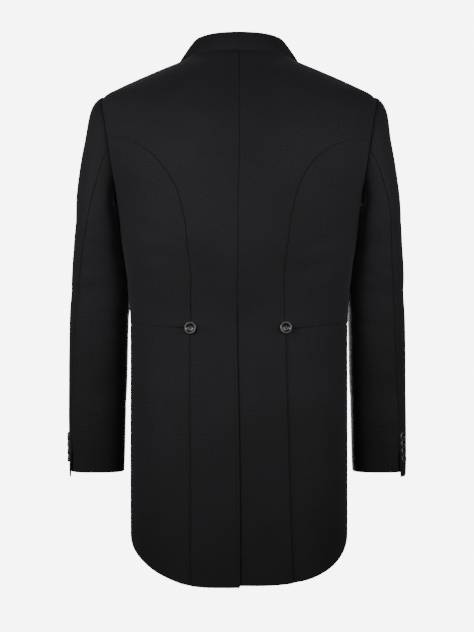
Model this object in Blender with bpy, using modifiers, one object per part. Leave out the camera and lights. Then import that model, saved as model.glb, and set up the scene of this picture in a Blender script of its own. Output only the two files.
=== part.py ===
"""Morning coat in black wool, filled out to the hollow form it has when worn.

Units are millimetres in the tables below and metres in the scene. +Z is up, the back of the coat
faces +Y and +X is the wearer's left. The origin is the middle of the neck base, level with the
shoulder line at the neck. Every panel is a wall of cloth on one body form.
"""
import bmesh
import bpy
import numpy as np
from mathutils import Vector

MM = 0.001
MM_PER_DEGREE = 2.5
MERGE_DISTANCE = 0.00001
CLOTH = 2.4
SEAM_GAP = 0.3
LAP_DEPTH = CLOTH + 0.6
LAP_RAMP = 26.0
FRONT_LAP_TOP = -330.0
FRONT_LAP_FADE = 40.0
FRONT_LAP_PAST = 4.0
VENT_TOP = -452.0
VENT_LEAD = 52.0
VENT_FADE = 48.0
VENT_PAST = 8.0
VENT_UNDERLAP = 36.0
UNDERLAP_RUN = 25.0
PLEAT_UNDERLAP = 20.0
PLEAT_PAST = 8.0
HEM_LEVEL = -870.0
SHOULDER_ANGLE = 88.0
SHOULDER_STATION = 3
SHOULDER_FADE = 0.17
SHOULDER_POWER = 1.5
CENTRE_POWER = 1.35
SIDE_FADE = 0.6
LAPEL_FADE = 0.3
UNDERARM_ANGLE = 100.0
SKIRT_CORNER_ANGLE = 80.0
FRONT_CORNER_ANGLE = 185.0
FRONT_OVERLAP = 19.0
SLEEVE_RING_TOP = -270.0
CUFF_HEIGHT = -700.0
CUFF_VENT_TOP = -610.0
VENT_LIFT = 3.0
VENT_SINK = 1.6
VENT_TIP = 6.0
LAPEL_REST = 4.0
NOTCH_SHARE = 0.43
GORGE_GAP = 1.6
LAPEL_FULL_WIDTH = 40.0
LAPEL_THINNEST = 0.35
SLEEVE_CLEARANCE = 1.6
BUTTON_SEAT = 0.45
CUFF_BUTTON_SEAT = 0.75
CUFF_BUTTON_HEIGHT = -636.5
BUTTON_PITCH = 13.6
BUTTON_TILT = 12.0

SEAM_STEPS = 18
SKIRT_STEPS = 12
ARM_STEPS = 16
SHOULDER_STEPS = 4
FOREPART_STEPS = 11
SKIRT_FRONT_STEPS = 7
ROLL_STEPS = 16
BACK_NECK_STEPS = 6
FRONT_NECK_STEPS = 4
WAIST_BUTTON_SIDES = 16
CUFF_BUTTON_SIDES = 12
CAP_SHARES = (0, 0.04, 0.1, 0.19, 0.31, 0.46, 0.64, 0.82, 1)
STAND_SHARES = (0, 0.35, 0.65, 0.87)
FALL_SHARES = (0, 0.1, 0.24, 0.42, 0.62, 0.82, 1)


def table(columns, rows):
    """Named columns, as arrays, of rows that share one order."""
    return dict(zip(columns.split(), np.array(rows, float).T))


# Body form: a squared ellipse at each height.
BODY = table("height half_width back_depth front_depth squareness", (
    (-900, 182, 133, 128, 2.40),
    (-760, 183, 132, 128, 2.40),
    (-660, 183, 129, 127, 2.40),
    (-580, 183, 123, 126, 2.35),
    (-500, 183, 112, 123, 2.25),
    (-440, 184, 108, 122, 2.20),
    (-370, 190, 117, 126, 2.25),
    (-300, 200, 130, 130, 2.30),
    (-231, 210, 137, 130, 2.30),
    (-190, 228, 137, 127, 2.30),
    (-150, 240, 133, 122, 2.30),
    (-120, 245, 128, 116, 2.25),
    (-95, 243.5, 122, 108, 2.15),
    (-76, 239, 115, 100, 2.10),
    (-60, 229, 109, 93, 2.00),
    (-45, 201, 102, 84, 2.00),
    (-30, 168, 94, 75, 2.00),
    (-15, 133, 84, 62, 2.00),
    (0, 98, 71, 52, 2.05),
    (10, 84, 65, 47, 2.10),
    (24, 76, 58, 44, 2.10),
    (44, 71, 50, 42, 2.10),
))

# Centre back line, from the neck to the hem.
CENTRE_BACK = table("height across", (
    (-875, -1.5), (-780, -1.5), (-634, 0.0), (-536, 1.8), (-471, 3.4), (-405, 3.4),
    (-340, 1.8), (-244, 1.8), (-179, -0.7), (25, -0.7),
))

# Side body seam after its start on the armhole: across and height for each side.
SIDE_SEAM = table("left_across left_height right_across right_height", (
    (200, -136, 200, -139),
    (179, -142, 179, -144),
    (159, -154, 159, -151),
    (139, -170, 139, -162),
    (118, -196, 116, -186),
    (96, -243, 91, -243),
    (87, -292, 82, -292),
    (80.5, -357, 75, -357),
    (80.5, -422, 75.5, -422),
    (80.5, -451.5, 77, -457),
))

# Pleat line from the waist button to the hem.
PLEAT = table("height left right", (
    (-880, 78, 88), (-780, 78.4, 84.6), (-660, 79, 81.4), (-545, 80.4, 78.5), (-450, 80.5, 77),
))

# Waist seam, and the hem with the cutaway edge: height by the angle from the centre back.
WAIST = table("angle left right", (
    (20, -451.5, -457), (43, -451, -456.5), (48, -450.6, -451.6), (57, -450, -449.5),
    (74, -448.5, -445.5), (100, -448, -446), (140, -452, -451), (190, -461, -461),
))
HEM = table("angle left right", (
    (0, -873, -869.7), (20, -873.3, -869.3), (31, -871.6, -867), (37, -868.9, -865),
    (43, -863.4, -862), (55, -849.5, -850), (63, -835.5, -837), (71, -822, -822),
    (80, -806, -805), (90, -788, -788), (105, -752, -752), (120, -702, -702),
    (135, -641, -641), (150, -576, -576), (165, -514, -514), (185, -461, -461),
))

# Armhole: a turn round it from the shoulder point, backwards, and its place on the body form.
ARMHOLE = table("turn angle height", (
    (0, 88, -61), (30, 81.5, -78), (55, 75.6, -110), (70, 73.6, -135), (80, 73.1, -157),
    (105, 74, -190), (135, 79.5, -222), (160, 87, -237), (180, 94, -241), (205, 103, -233),
    (235, 111, -205), (270, 115.5, -160), (305, 111.5, -112), (335, 100, -77), (360, 88, -61),
))
SIDE_SEAM_TURN = 70.0
HIND_SEAM_TURN = 80.0
UNDERARM_TURN = 192.0
FORE_SEAM_TURN = 235.0
BACK_TURNS = np.linspace(0, SIDE_SEAM_TURN, 5)
SIDE_TURNS = np.append(SIDE_SEAM_TURN, np.linspace(HIND_SEAM_TURN, UNDERARM_TURN, 8))
FORE_TURNS = np.append(np.linspace(360, FORE_SEAM_TURN, 9), np.linspace(FORE_SEAM_TURN, UNDERARM_TURN, 4)[1:])
HOLE_TURNS = np.concatenate([BACK_TURNS, SIDE_TURNS[1:], FORE_TURNS[-2::-1]])

# Sleeve below the armhole: its outer and inner edges across, and its depth.
SLEEVE = table("height left_outer left_inner right_outer right_inner depth half_depth", (
    (-720, 290, 203, 285, 199, -62, 47),
    (-681, 292, 200.5, 286, 196.5, -61, 48),
    (-611, 292.5, 198.5, 285.5, 194.5, -57, 52),
    (-542, 292, 195.5, 285, 192, -53, 57),
    (-473, 290.5, 193.5, 284, 190, -48, 61),
    (-438, 289.5, 192, 283, 188.5, -45, 64),
    (-404, 287.5, 190, 281, 188, -40, 66),
    (-361, 284.5, 191.5, 280, 191, -33, 70),
    (-318, 281, 197, 277, 197, -26, 73),
    (-270, 275.5, 207.5, 273, 207.5, -18, 76),
))
# Hind-arm seam across on each sleeve, from the ring below the armhole to the cuff.
HIND_SEAM = table("height left right", (
    (-720, 288.5, 276), (-692, 288, 275), (-627, 286.5, 271), (-576, 285, 269), (-519, 283, 265),
    (-433, 276, 261.5), (-376, 269.5, 258), (-326, 262.6, 254.5), (-282, 254, 252), (-248, 247, 250.5),
))
FORE_SEAM_RING_TURN = 218.0

# How the sleeve leaves the armhole: the start of each run of cloth, by the turn.
SLEEVE_START = table("turn out back up", (
    (0, 90, 0, -9), (45, 75, 14, -22), (80, 45, 8, -45), (130, 24, 4, -20), (180, 14, 0, 3),
    (235, 30, -8, -20), (300, 70, -20, -20), (360, 90, 0, -9),
))

# Soft folds of the sleeve: middle height and turn, reach in height and turn, depth.
SLEEVE_FOLDS = table("height turn high round deep", (
    (-318, 120, 17, 55, 2.6), (-352, 95, 15, 48, 2.2), (-392, 70, 17, 60, 2.4),
    (-430, 285, 18, 60, 2.6), (-475, 300, 16, 50, 2.0), (-560, 100, 24, 60, 1.6),
))

# Neck edge from the centre back to the gorge, with the roll and the leaf edge of the collar and how
# far it lies off the panels.
COLLAR = table("neck_angle neck_height roll_across roll_depth roll_height leaf_angle leaf_height lift", (
    (0, 19, 0, 53, 43, 0, 11.4, 1.4),
    (30, 18, 28, 49, 42.5, 28, 10, 1.7),
    (60, 14, 55, 34, 40.5, 54, 5, 2.7),
    (88, 9, 72, 6, 36.5, 84, -1, 3.0),
    (104, 4, 71.5, -22, 27, 102.5, -8, 2.4),
    (122, -12, 69.5, -50, 8, 115.5, -25, 1.8),
    (134.5, -32, 67, -74, -20, 123.5, -43, 1.8),
    (142.5, -52, 64, -91, -47, 129.5, -60, 1.8),
))

# Roll line, and the outer edge of each lapel from the peak to its end: across, by height.
ROLL_LINE = table("height across", (
    (-428, -19), (-415, -15), (-380, -1), (-320, 16), (-220, 38), (-120, 55.5), (-52, 65),
))
LAPEL_EDGE = table("left_height left_across right_height right_across", (
    (-48, 150, -48, 150), (-110, 141, -110, 141), (-180, 119, -178, 119), (-245, 90, -238, 91),
    (-305, 54, -290, 58), (-350, 25, -330, 30), (-385, 4, -346, 17), (-404.5, -5, -357.5, 10),
))
LAPEL_NOTCH = (103.0, -61.8)
LAPEL_ROWS = {"left": 16, "right": 14}
# Lapel from the roll line outwards: share of its width, distance past the roll line, and lift.
LAPEL_SECTION = table("share past lift", (
    (0.0, 3.6, -0.6), (0.04, 4.5, 3.0), (0.12, 2.2, 6.4), (0.24, 0.0, 6.9), (0.43, 0.0, 6.0),
    (0.62, 0.0, 4.9), (0.82, 0.0, 4.2), (1.0, 0.0, 4.0),
))
# Buttons on the body form: across, height, and whether on the front.
BODY_BUTTONS = (
    ("waist_button_left", 80.6, -451.5, False),
    ("waist_button_right", -77.2, -450.0, False),
    ("front_button", 0.0, -433.0, True),
)

# Turned profiles: radius and height above the cloth, from the middle of the face to the shank.
WAIST_BUTTON = table("radius height", (
    (5.6, 3.2), (7.4, 4.6), (8.9, 4.8), (10.0, 3.8), (9.2, 2.2), (2.4, 1.8), (2.4, 0.0),
))
CUFF_BUTTON = table("radius height", (
    (4.2, 3.0), (5.8, 4.0), (7.3, 3.3), (6.6, 2.3), (1.7, 2.1), (1.7, 0.0),
))


def smooth(places, values, at):
    """Curve through the values that keeps their rises and falls (monotone cubic)."""
    order = np.argsort(places)
    places, values = places[order], values[order]
    step = np.diff(places)
    slope = np.diff(values) / step
    before, after = slope[:-1], slope[1:]
    turning = before * after <= 0
    weight_one = 2 * step[1:] + step[:-1]
    weight_two = step[1:] + 2 * step[:-1]
    below = weight_one * after + weight_two * before
    inner = (weight_one + weight_two) * before * after / np.where(turning, 1.0, below)
    tangent = np.concatenate([slope[:1], np.where(turning, 0.0, inner), slope[-1:]])
    at = np.clip(np.asarray(at, float), places[0], places[-1])
    left = np.clip(np.searchsorted(places, at) - 1, 0, len(step) - 1)
    t = (at - places[left]) / step[left]
    return (values[left] * (2 * t**3 - 3 * t**2 + 1)
            + values[left + 1] * (3 * t**2 - 2 * t**3)
            + step[left] * (tangent[left] * (t**3 - 2 * t**2 + t) + tangent[left + 1] * (t**3 - t**2)))


def ease(share):
    """Rise from 0 to 1 with level ends."""
    share = np.clip(share, 0, 1)
    return share * share * (3 - 2 * share)


def hermite(start, end, start_pull, end_pull, t):
    """Cubic from start to end that leaves and arrives along the two pulls."""
    return (start * (2 * t**3 - 3 * t**2 + 1) + end * (3 * t**2 - 2 * t**3)
            + start_pull * (t**3 - 2 * t**2 + t) + end_pull * (t**3 - t**2))


def unit(vectors):
    """Vectors scaled to length one."""
    return vectors / np.maximum(np.linalg.norm(vectors, axis=-1, keepdims=True), 1e-9)


def body_size(column, height):
    """One size of the body form at these heights."""
    return smooth(BODY["height"], BODY[column], height)


def body_point(angle, height):
    """Point of the body form; angle in degrees from the centre back towards the side."""
    turn = np.radians(angle)
    depth = np.where(np.cos(turn) > 0, body_size("back_depth", height), body_size("front_depth", height))
    power = body_size("squareness", height)
    across = np.abs(np.sin(turn) / body_size("half_width", height)) ** power
    along = np.abs(np.cos(turn) / depth) ** power
    reach = (across + along) ** (-1 / power)
    return np.stack([reach * np.sin(turn), reach * np.cos(turn), height + 0 * reach], -1)


def body_normal(angle, height):
    """Outward normal of the body form, from two short steps on it."""
    round_step = body_point(angle + 0.1, height) - body_point(angle - 0.1, height)
    up_step = body_point(angle, height + 0.5) - body_point(angle, height - 0.5)
    return unit(np.cross(up_step, round_step))


def angle_at(across, height, front=False):
    """Angle on the body form of a point this far across at this height."""
    power = body_size("squareness", height)
    depth = body_size("front_depth" if front else "back_depth", height)
    share = np.clip(np.abs(across) / body_size("half_width", height), 0, 1)
    along = depth * (1 - share**power) ** (1 / power)
    angle = np.degrees(np.arctan2(across, -along if front else along))
    return np.where(angle < -90, angle + 360, angle)


def column(side, name=""):
    """Name of a table's column for one side."""
    return ("left" if side > 0 else "right") + name


def waist_height(angle, side):
    """Height of the waist seam at an angle."""
    return smooth(WAIST["angle"], WAIST[column(side)], angle)


def hem_height(angle, side):
    """Height of the hem and cutaway edge at an angle."""
    return smooth(HEM["angle"], HEM[column(side)], angle)


def pair(angle, height):
    """Points as rows of angle and height."""
    angle, height = np.broadcast_arrays(np.asarray(angle, float), np.asarray(height, float))
    return np.stack([angle, height], -1)


def chain(*runs):
    """Runs of points joined end to end, each shared end once."""
    return np.concatenate([runs[0]] + [run[1:] for run in runs[1:]])


def curve_through(points, count):
    """Smooth curve through points of angle and height, in about evenly long steps."""
    length = np.linalg.norm(np.diff(points, axis=0) * np.array([MM_PER_DEGREE, 1]), axis=1)
    length = np.concatenate([[0], np.cumsum(length)])
    at = np.linspace(0, length[-1], count + 1)
    return np.stack([smooth(length, points[:, k], at) for k in range(2)], -1)


def patch(top, bottom, rear, front, top_fade=1.0):
    """Grid between four edges: straight rows, bent like the top and the bottom edge near them."""
    v = np.linspace(0, 1, len(rear))[:, None, None]
    u = np.linspace(0, 1, len(top))[None, :, None]
    straight = (1 - u) * rear[:, None] + u * front[:, None]
    top_bend = top - ((1 - u) * top[0] + u * top[-1])
    bottom_bend = bottom - ((1 - u) * bottom[0] + u * bottom[-1])
    return straight + top_bend * np.clip(1 - v / top_fade, 0, 1) + bottom_bend * v


def armhole(turn):
    """Armhole points as rows of angle and height."""
    return pair(smooth(ARMHOLE["turn"], ARMHOLE["angle"], turn),
                smooth(ARMHOLE["turn"], ARMHOLE["height"], turn))


def pull_in(points, edge, amount):
    """Edge row of a grid moved along the cloth, square to the edge, by this amount."""
    grid = {"top": points, "bottom": points[::-1],
            "rear": points.transpose(1, 0, 2), "front": points.transpose(1, 0, 2)[::-1]}[edge]
    along = unit(np.gradient(grid[0], axis=0))
    inward = grid[1] - grid[0]
    inward = unit(inward - along * np.sum(inward * along, -1, keepdims=True))
    grid[0] += inward * amount


def material(name, colour, roughness):
    """Principled material in one colour."""
    made = bpy.data.materials.new(name)
    made.use_nodes = True
    shader = made.node_tree.nodes["Principled BSDF"]
    shader.inputs["Base Color"].default_value = (*colour, 1)
    shader.inputs["Roughness"].default_value = roughness
    return made


def add_mesh(name, points, faces, made_of):
    """One named object, its faces turned outwards and split along their shorter diagonals."""
    mesh = bpy.data.meshes.new(name)
    mesh.from_pydata([tuple(point) for point in np.asarray(points) * MM], [], faces)
    work = bmesh.new()
    work.from_mesh(mesh)
    if work.calc_volume(signed=True) < 0:
        bmesh.ops.reverse_faces(work, faces=work.faces)
    bmesh.ops.triangulate(work, faces=work.faces, quad_method="SHORT_EDGE")
    work.to_mesh(mesh)
    work.free()
    mesh.materials.append(made_of)
    mesh.polygons.foreach_set("use_smooth", [True] * len(mesh.polygons))
    COAT.objects.link(bpy.data.objects.new(name, mesh))


def add_wall(name, outside, normal, gaps=()):
    """Closed wall: the outside grid, the same grid one cloth inwards, and rims between them."""
    outside = outside.copy()
    for edge in gaps:
        pull_in(outside, edge, SEAM_GAP / 2)
    rows, columns = outside.shape[:2]
    index = np.arange(rows * columns).reshape(rows, columns)
    below = index + rows * columns
    quads = []
    for grid, order in ((index, 1), (below, -1)):
        corners = np.stack([grid[:-1, :-1], grid[1:, :-1], grid[1:, 1:], grid[:-1, 1:]], -1)
        quads += [tuple(quad[::order]) for quad in corners.reshape(-1, 4).tolist()]
    border = chain(index[0, :], index[:, -1], index[-1, ::-1], index[::-1, 0])
    under = chain(below[0, :], below[:, -1], below[-1, ::-1], below[::-1, 0])
    rim = np.stack([border[:-1], border[1:], under[1:], under[:-1]], -1)
    quads += [tuple(quad) for quad in rim.tolist()]
    points = np.concatenate([outside.reshape(-1, 3), (outside - normal * CLOTH).reshape(-1, 3)])
    add_mesh(name, points, quads, WOOL)


def body_panel(name, flat, side, sunk=None, gaps=()):
    """Panel of cloth on the body form, from a grid of angles and heights."""
    angle, height = flat[..., 0] * side, flat[..., 1]
    normal = body_normal(angle, height)
    outside = body_point(angle, height)
    if sunk is not None:
        outside = outside - normal * sunk(outside)[..., None]
    add_wall(name + column(side), outside, normal, gaps)


def side_seam(side):
    """Side body seam from the armhole to the waist."""
    height = SIDE_SEAM[column(side, "_height")]
    angle = angle_at(SIDE_SEAM[column(side, "_across")], height)
    return curve_through(np.concatenate([armhole(SIDE_SEAM_TURN)[None], pair(angle, height)]), SEAM_STEPS)


def pleat(height, side, inward=0.0):
    """Angle of the pleat line, or of a line further in, at these heights."""
    return angle_at(smooth(PLEAT["height"], PLEAT[column(side)], height) - inward, height)


def neck_run(start, end, count):
    """Stretch of the neck edge between two stations of the collar."""
    station = np.linspace(start, end, count + 1)
    places = np.arange(len(COLLAR["neck_angle"]), dtype=float)
    return pair(smooth(places, COLLAR["neck_angle"], station), smooth(places, COLLAR["neck_height"], station))


def shoulder_run(count):
    """Shoulder seam from the neck to the armhole."""
    neck_height, end_height = COLLAR["neck_height"][SHOULDER_STATION], ARMHOLE["height"][0]
    share = np.linspace(0, 1, count + 1) ** SHOULDER_POWER
    return pair(SHOULDER_ANGLE, neck_height + (end_height - neck_height) * share)


def under_left_front(points):
    """How far the right front sinks where the left front laps over it."""
    near = (points[..., 0] + FRONT_OVERLAP + LAP_RAMP + FRONT_LAP_PAST) / LAP_RAMP
    low = (FRONT_LAP_TOP - points[..., 2]) / FRONT_LAP_FADE
    return LAP_DEPTH * ease(near) * ease(low) * (points[..., 1] < 0)


def under_left_back(points):
    """How far the right back sinks beside and under the vent's left edge."""
    across = smooth(CENTRE_BACK["height"], CENTRE_BACK["across"], points[..., 2])
    near = (points[..., 0] - across + VENT_PAST + LAP_RAMP) / LAP_RAMP
    low = (VENT_TOP + VENT_LEAD - points[..., 2]) / VENT_FADE
    return LAP_DEPTH * ease(near) * ease(low)


def back_panel(side):
    """Back from neck to hem: centre line, half neck, shoulder, armhole, side seam and pleat line."""
    neck = neck_run(0, SHOULDER_STATION, BACK_NECK_STEPS)
    top = chain(neck, shoulder_run(SHOULDER_STEPS), armhole(BACK_TURNS))
    seam = side_seam(side)
    hem_end = hem_height(pleat(HEM_LEVEL, side), side)
    lower = np.linspace(seam[-1, 1], hem_end, SKIRT_STEPS + 1)
    outer = chain(seam, pair(pleat(lower, side), lower))
    upper_share = np.linspace(0, 1, SEAM_STEPS + 1) ** CENTRE_POWER
    upper_rows = top[0, 1] + (VENT_TOP - top[0, 1]) * upper_share
    height = chain(upper_rows, np.linspace(VENT_TOP, hem_height(0, side), SKIRT_STEPS + 1))
    across = smooth(CENTRE_BACK["height"], CENTRE_BACK["across"], height) * side
    if side < 0:
        across = across - VENT_UNDERLAP * ease((VENT_TOP - height) / UNDERLAP_RUN)
    centre = pair(angle_at(across, height), height)
    top[0] = centre[0]
    hem_angle = np.linspace(centre[-1, 0], outer[-1, 0], len(top))
    hem = pair(hem_angle, hem_height(np.abs(hem_angle), side))
    centre[-1], outer[-1] = hem[0], hem[-1]
    body_panel("back_", patch(top, hem, centre, outer, SHOULDER_FADE), side,
               under_left_back if side < 0 else None, ("top", "rear", "front"))


def side_waist(side):
    """Waist seam under the side body, from the pleat line to the underarm seam."""
    angle = np.linspace(side_seam(side)[-1, 0], UNDERARM_ANGLE, len(SIDE_TURNS))
    return pair(angle, waist_height(angle, side))


def side_body(side):
    """Panel between the side body seam and the underarm seam, down to the waist."""
    rear = side_seam(side)
    top = armhole(SIDE_TURNS)
    bottom = side_waist(side)
    front = np.linspace(top[-1], bottom[-1], len(rear))
    rear[-1] = bottom[0]
    body_panel("side_body_", patch(top, bottom, rear, front, SIDE_FADE), side, None,
               ("top", "bottom", "rear", "front"))


def roll_line():
    """Roll line from the gorge down to the front edge, in even steps of height."""
    height = np.linspace(COLLAR["neck_height"][-1], ROLL_LINE["height"][0], ROLL_STEPS + 1)
    return pair(angle_at(smooth(ROLL_LINE["height"], ROLL_LINE["across"], height), height, True), height)


def forepart(side):
    """Front from the shoulder to the waist: armhole, underarm seam, neck edge and roll line."""
    top = shoulder_run(FOREPART_STEPS)[::-1]
    hole = armhole(FORE_TURNS)
    underarm_end = (UNDERARM_ANGLE, waist_height(UNDERARM_ANGLE, side))
    rows = FRONT_NECK_STEPS + ROLL_STEPS + 2
    outer = chain(hole, np.linspace(hole[-1], underarm_end, rows - len(hole) + 1))
    neck = neck_run(SHOULDER_STATION, SHOULDER_STATION + FRONT_NECK_STEPS, FRONT_NECK_STEPS)
    corner = (FRONT_CORNER_ANGLE, waist_height(FRONT_CORNER_ANGLE, side))
    roll = roll_line()
    inner = chain(neck, roll, np.array([roll[-1], corner]))
    bottom_angle = np.linspace(UNDERARM_ANGLE, FRONT_CORNER_ANGLE, len(top))
    bottom = pair(bottom_angle, waist_height(bottom_angle, side))
    body_panel("forepart_", patch(top, bottom, outer, inner), side,
               under_left_front if side < 0 else None, ("top", "bottom", "rear", "front"))


def skirt(side):
    """Skirt from the waist seam to the cutaway hem, its rear edge folded under the back."""
    start = pleat(VENT_TOP, side, PLEAT_UNDERLAP)
    fore_angle = np.linspace(UNDERARM_ANGLE, FRONT_CORNER_ANGLE, SKIRT_FRONT_STEPS)
    fore = pair(fore_angle, waist_height(fore_angle, side))
    top = np.concatenate([pair([start], [waist_height(start, side)]), chain(side_waist(side), fore)])
    top[:, 1] -= SEAM_GAP / 2
    hem_start = pleat(HEM_LEVEL, side, PLEAT_UNDERLAP)
    hem_angle = np.linspace(hem_start, SKIRT_CORNER_ANGLE, len(top))
    hem = pair(hem_angle, hem_height(hem_angle, side))
    rear_height = np.linspace(top[0, 1], hem[0, 1], SKIRT_STEPS + 1)
    rear = pair(pleat(rear_height, side, PLEAT_UNDERLAP), rear_height)
    front_angle = np.linspace(FRONT_CORNER_ANGLE, SKIRT_CORNER_ANGLE, SKIRT_STEPS + 1)
    front = pair(front_angle, hem_height(front_angle, side))
    front[0], front[-1], rear[0], rear[-1] = top[-1], hem[-1], top[0], hem[0]

    def sunk(points):
        line = smooth(PLEAT["height"], PLEAT[column(side)], points[..., 2])
        near = 1 - (np.abs(points[..., 0]) - line - PLEAT_PAST) / LAP_RAMP
        rear_lap = LAP_DEPTH * ease(near) * (points[..., 1] > 0)
        return rear_lap + (under_left_front(points) if side < 0 else 0)

    body_panel("skirt_", patch(top, hem, rear, front), side, sunk, ("top",))


def sleeve_size(name, height):
    """One size of the sleeve at these heights."""
    return smooth(SLEEVE["height"], SLEEVE[name], height)


def sleeve_ring(hole_turn, height, side):
    """Outside of the sleeve at a height: an ellipse with soft folds, its seams where they show."""
    outer = sleeve_size(column(side, "_outer"), height)
    inner = sleeve_size(column(side, "_inner"), height)
    middle, half = (outer + inner) / 2, (outer - inner) / 2
    seam_across = smooth(HIND_SEAM["height"], HIND_SEAM[column(side)], height)
    hind = np.degrees(np.arccos(np.clip((seam_across - middle) / half, -1, 1)))
    under_share = (hole_turn - HIND_SEAM_TURN) / (FORE_SEAM_TURN - HIND_SEAM_TURN)
    past = np.where(hole_turn < HIND_SEAM_TURN, hole_turn + 360, hole_turn) - FORE_SEAM_TURN
    top_share = past / (360 + HIND_SEAM_TURN - FORE_SEAM_TURN)
    turn = np.where(past < 0, hind + under_share * (FORE_SEAM_RING_TURN - hind),
                    FORE_SEAM_RING_TURN + top_share * (hind + 360 - FORE_SEAM_RING_TURN)) % 360
    fold = 0.0
    for level, place, high, wide, deep in zip(*SLEEVE_FOLDS.values()):
        fold = fold + deep * np.exp(-((height - level) / high) ** 2 - ((turn - place) / wide) ** 2)
    across = middle + (half - fold) * np.cos(np.radians(turn))
    reach = sleeve_size("half_depth", height) - fold
    along = sleeve_size("depth", height) + reach * np.sin(np.radians(turn))
    return np.stack([across * side, along, height + 0 * across], -1)


def clear_of_body(points, distance):
    """Points nearer the body form than this distance, moved straight out from its middle."""
    angle = np.degrees(np.arctan2(points[..., 0], points[..., 1]))
    form = body_point(angle, points[..., 2])
    radial = unit(points * np.array([1, 1, 0]))
    slope = np.maximum(np.sum(body_normal(angle, points[..., 2]) * radial, -1), 0.3)
    needed = np.linalg.norm(form[..., :2], axis=-1) + distance / slope
    reach = np.linalg.norm(points[..., :2], axis=-1)
    return points + radial * np.maximum(needed - reach, 0)[..., None]


def sleeve_form(side):
    """Whole sleeve as a closed grid: cap curves from the armhole, then rings down to the cuff."""
    place = armhole(HOLE_TURNS)
    start = body_point(place[:, 0] * side, place[:, 1])
    end = sleeve_ring(HOLE_TURNS, SLEEVE_RING_TOP, side)
    pull = np.stack([smooth(SLEEVE_START["turn"], SLEEVE_START[name], HOLE_TURNS)
                     for name in ("out", "back", "up")], -1) * np.array([side, 1, 1])
    down = (end - sleeve_ring(HOLE_TURNS, SLEEVE_RING_TOP + 5, side)) / 5
    arrive = down * (start[:, 2:] - end[:, 2:]) * 1.25
    cap = [hermite(start, end, pull, arrive, share) for share in CAP_SHARES]
    arm = [sleeve_ring(HOLE_TURNS, height, side)
           for height in np.linspace(SLEEVE_RING_TOP, CUFF_HEIGHT, ARM_STEPS + 1)[1:]]
    grid = np.array(cap + arm)
    grid[1:] = clear_of_body(grid[1:], SLEEVE_CLEARANCE)
    round_step = np.roll(grid[:, :-1], -1, axis=1) - np.roll(grid[:, :-1], 1, axis=1)
    round_step = np.concatenate([round_step, round_step[:, :1]], axis=1)
    normal = unit(np.cross(np.gradient(grid, axis=0), round_step)) * side
    return grid, normal


def sleeve(side):
    """Top sleeve and under sleeve; the top sleeve's edge stands open along the cuff vent."""
    grid, normal = sleeve_form(side)
    hind = int(np.argmin(np.abs(HOLE_TURNS - HIND_SEAM_TURN)))
    fore = int(np.argmin(np.abs(HOLE_TURNS - FORE_SEAM_TURN)))
    top = chain(grid[:, fore:].transpose(1, 0, 2), grid[:, :hind + 1].transpose(1, 0, 2)).transpose(1, 0, 2)
    top_normal = chain(normal[:, fore:].transpose(1, 0, 2),
                       normal[:, :hind + 1].transpose(1, 0, 2)).transpose(1, 0, 2)
    under, under_normal = grid[:, hind:fore + 1].copy(), normal[:, hind:fore + 1]
    opened = ease((CUFF_VENT_TOP - under[:, :1, 2]) / (CUFF_VENT_TOP - CUFF_HEIGHT))
    top[:, -1] += top_normal[:, -1] * opened * VENT_LIFT
    under[:, 0] -= under_normal[:, 0] * opened * VENT_SINK
    top[-1, -1, 2] -= VENT_TIP
    for name, piece, out in (("top_sleeve_", top, top_normal), ("under_sleeve_", under, under_normal)):
        add_wall(name + column(side), piece, out, ("top", "rear", "front"))
    return top, top_normal


def cuff_buttons(side, grid, normal):
    """Four lapped buttons on the top sleeve beside its vent edge, each tilted over the next."""
    line = (grid[:, -2] + grid[:, -3]) / 2
    out = unit(normal[:, -2] + normal[:, -3])
    for number in range(4):
        height = CUFF_BUTTON_HEIGHT - number * BUTTON_PITCH
        seat = np.array([np.interp(-height, -line[:, 2], line[:, k]) for k in range(3)])
        facing = unit(np.array([np.interp(-height, -line[:, 2], out[:, k]) for k in range(3)]))
        tilt = np.radians(BUTTON_TILT)
        axis = unit(facing * np.cos(tilt) + np.array([0, 0, 1]) * np.sin(tilt))
        name = f"cuff_button_{column(side)}_{number + 1}"
        turned(name, CUFF_BUTTON, seat + facing * CUFF_BUTTON_SEAT, axis, CUFF_BUTTON_SIDES)


def turned(name, profile, seat, axis, segments):
    """Solid turned by Screw from a profile of radius and height, standing on its seat along the axis."""
    radius = np.concatenate([[0], profile["radius"], [0]])
    height = np.concatenate([profile["height"][:1], profile["height"], profile["height"][-1:]])
    mesh = bpy.data.meshes.new(name)
    points = np.stack([radius, 0 * radius, height], -1) * MM
    mesh.from_pydata(points.tolist(), [(k, k + 1) for k in range(len(points) - 1)], [])
    mesh.materials.append(HORN)
    button = bpy.data.objects.new(name, mesh)
    button.location = seat * MM
    button.rotation_euler = Vector(axis).to_track_quat("Z", "Y").to_euler()
    turn = button.modifiers.new("turn", "SCREW")
    turn.steps = segments
    turn.render_steps = segments
    turn.use_merge_vertices = True
    turn.merge_threshold = MERGE_DISTANCE
    turn.use_smooth_shade = True
    COAT.objects.link(button)


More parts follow.
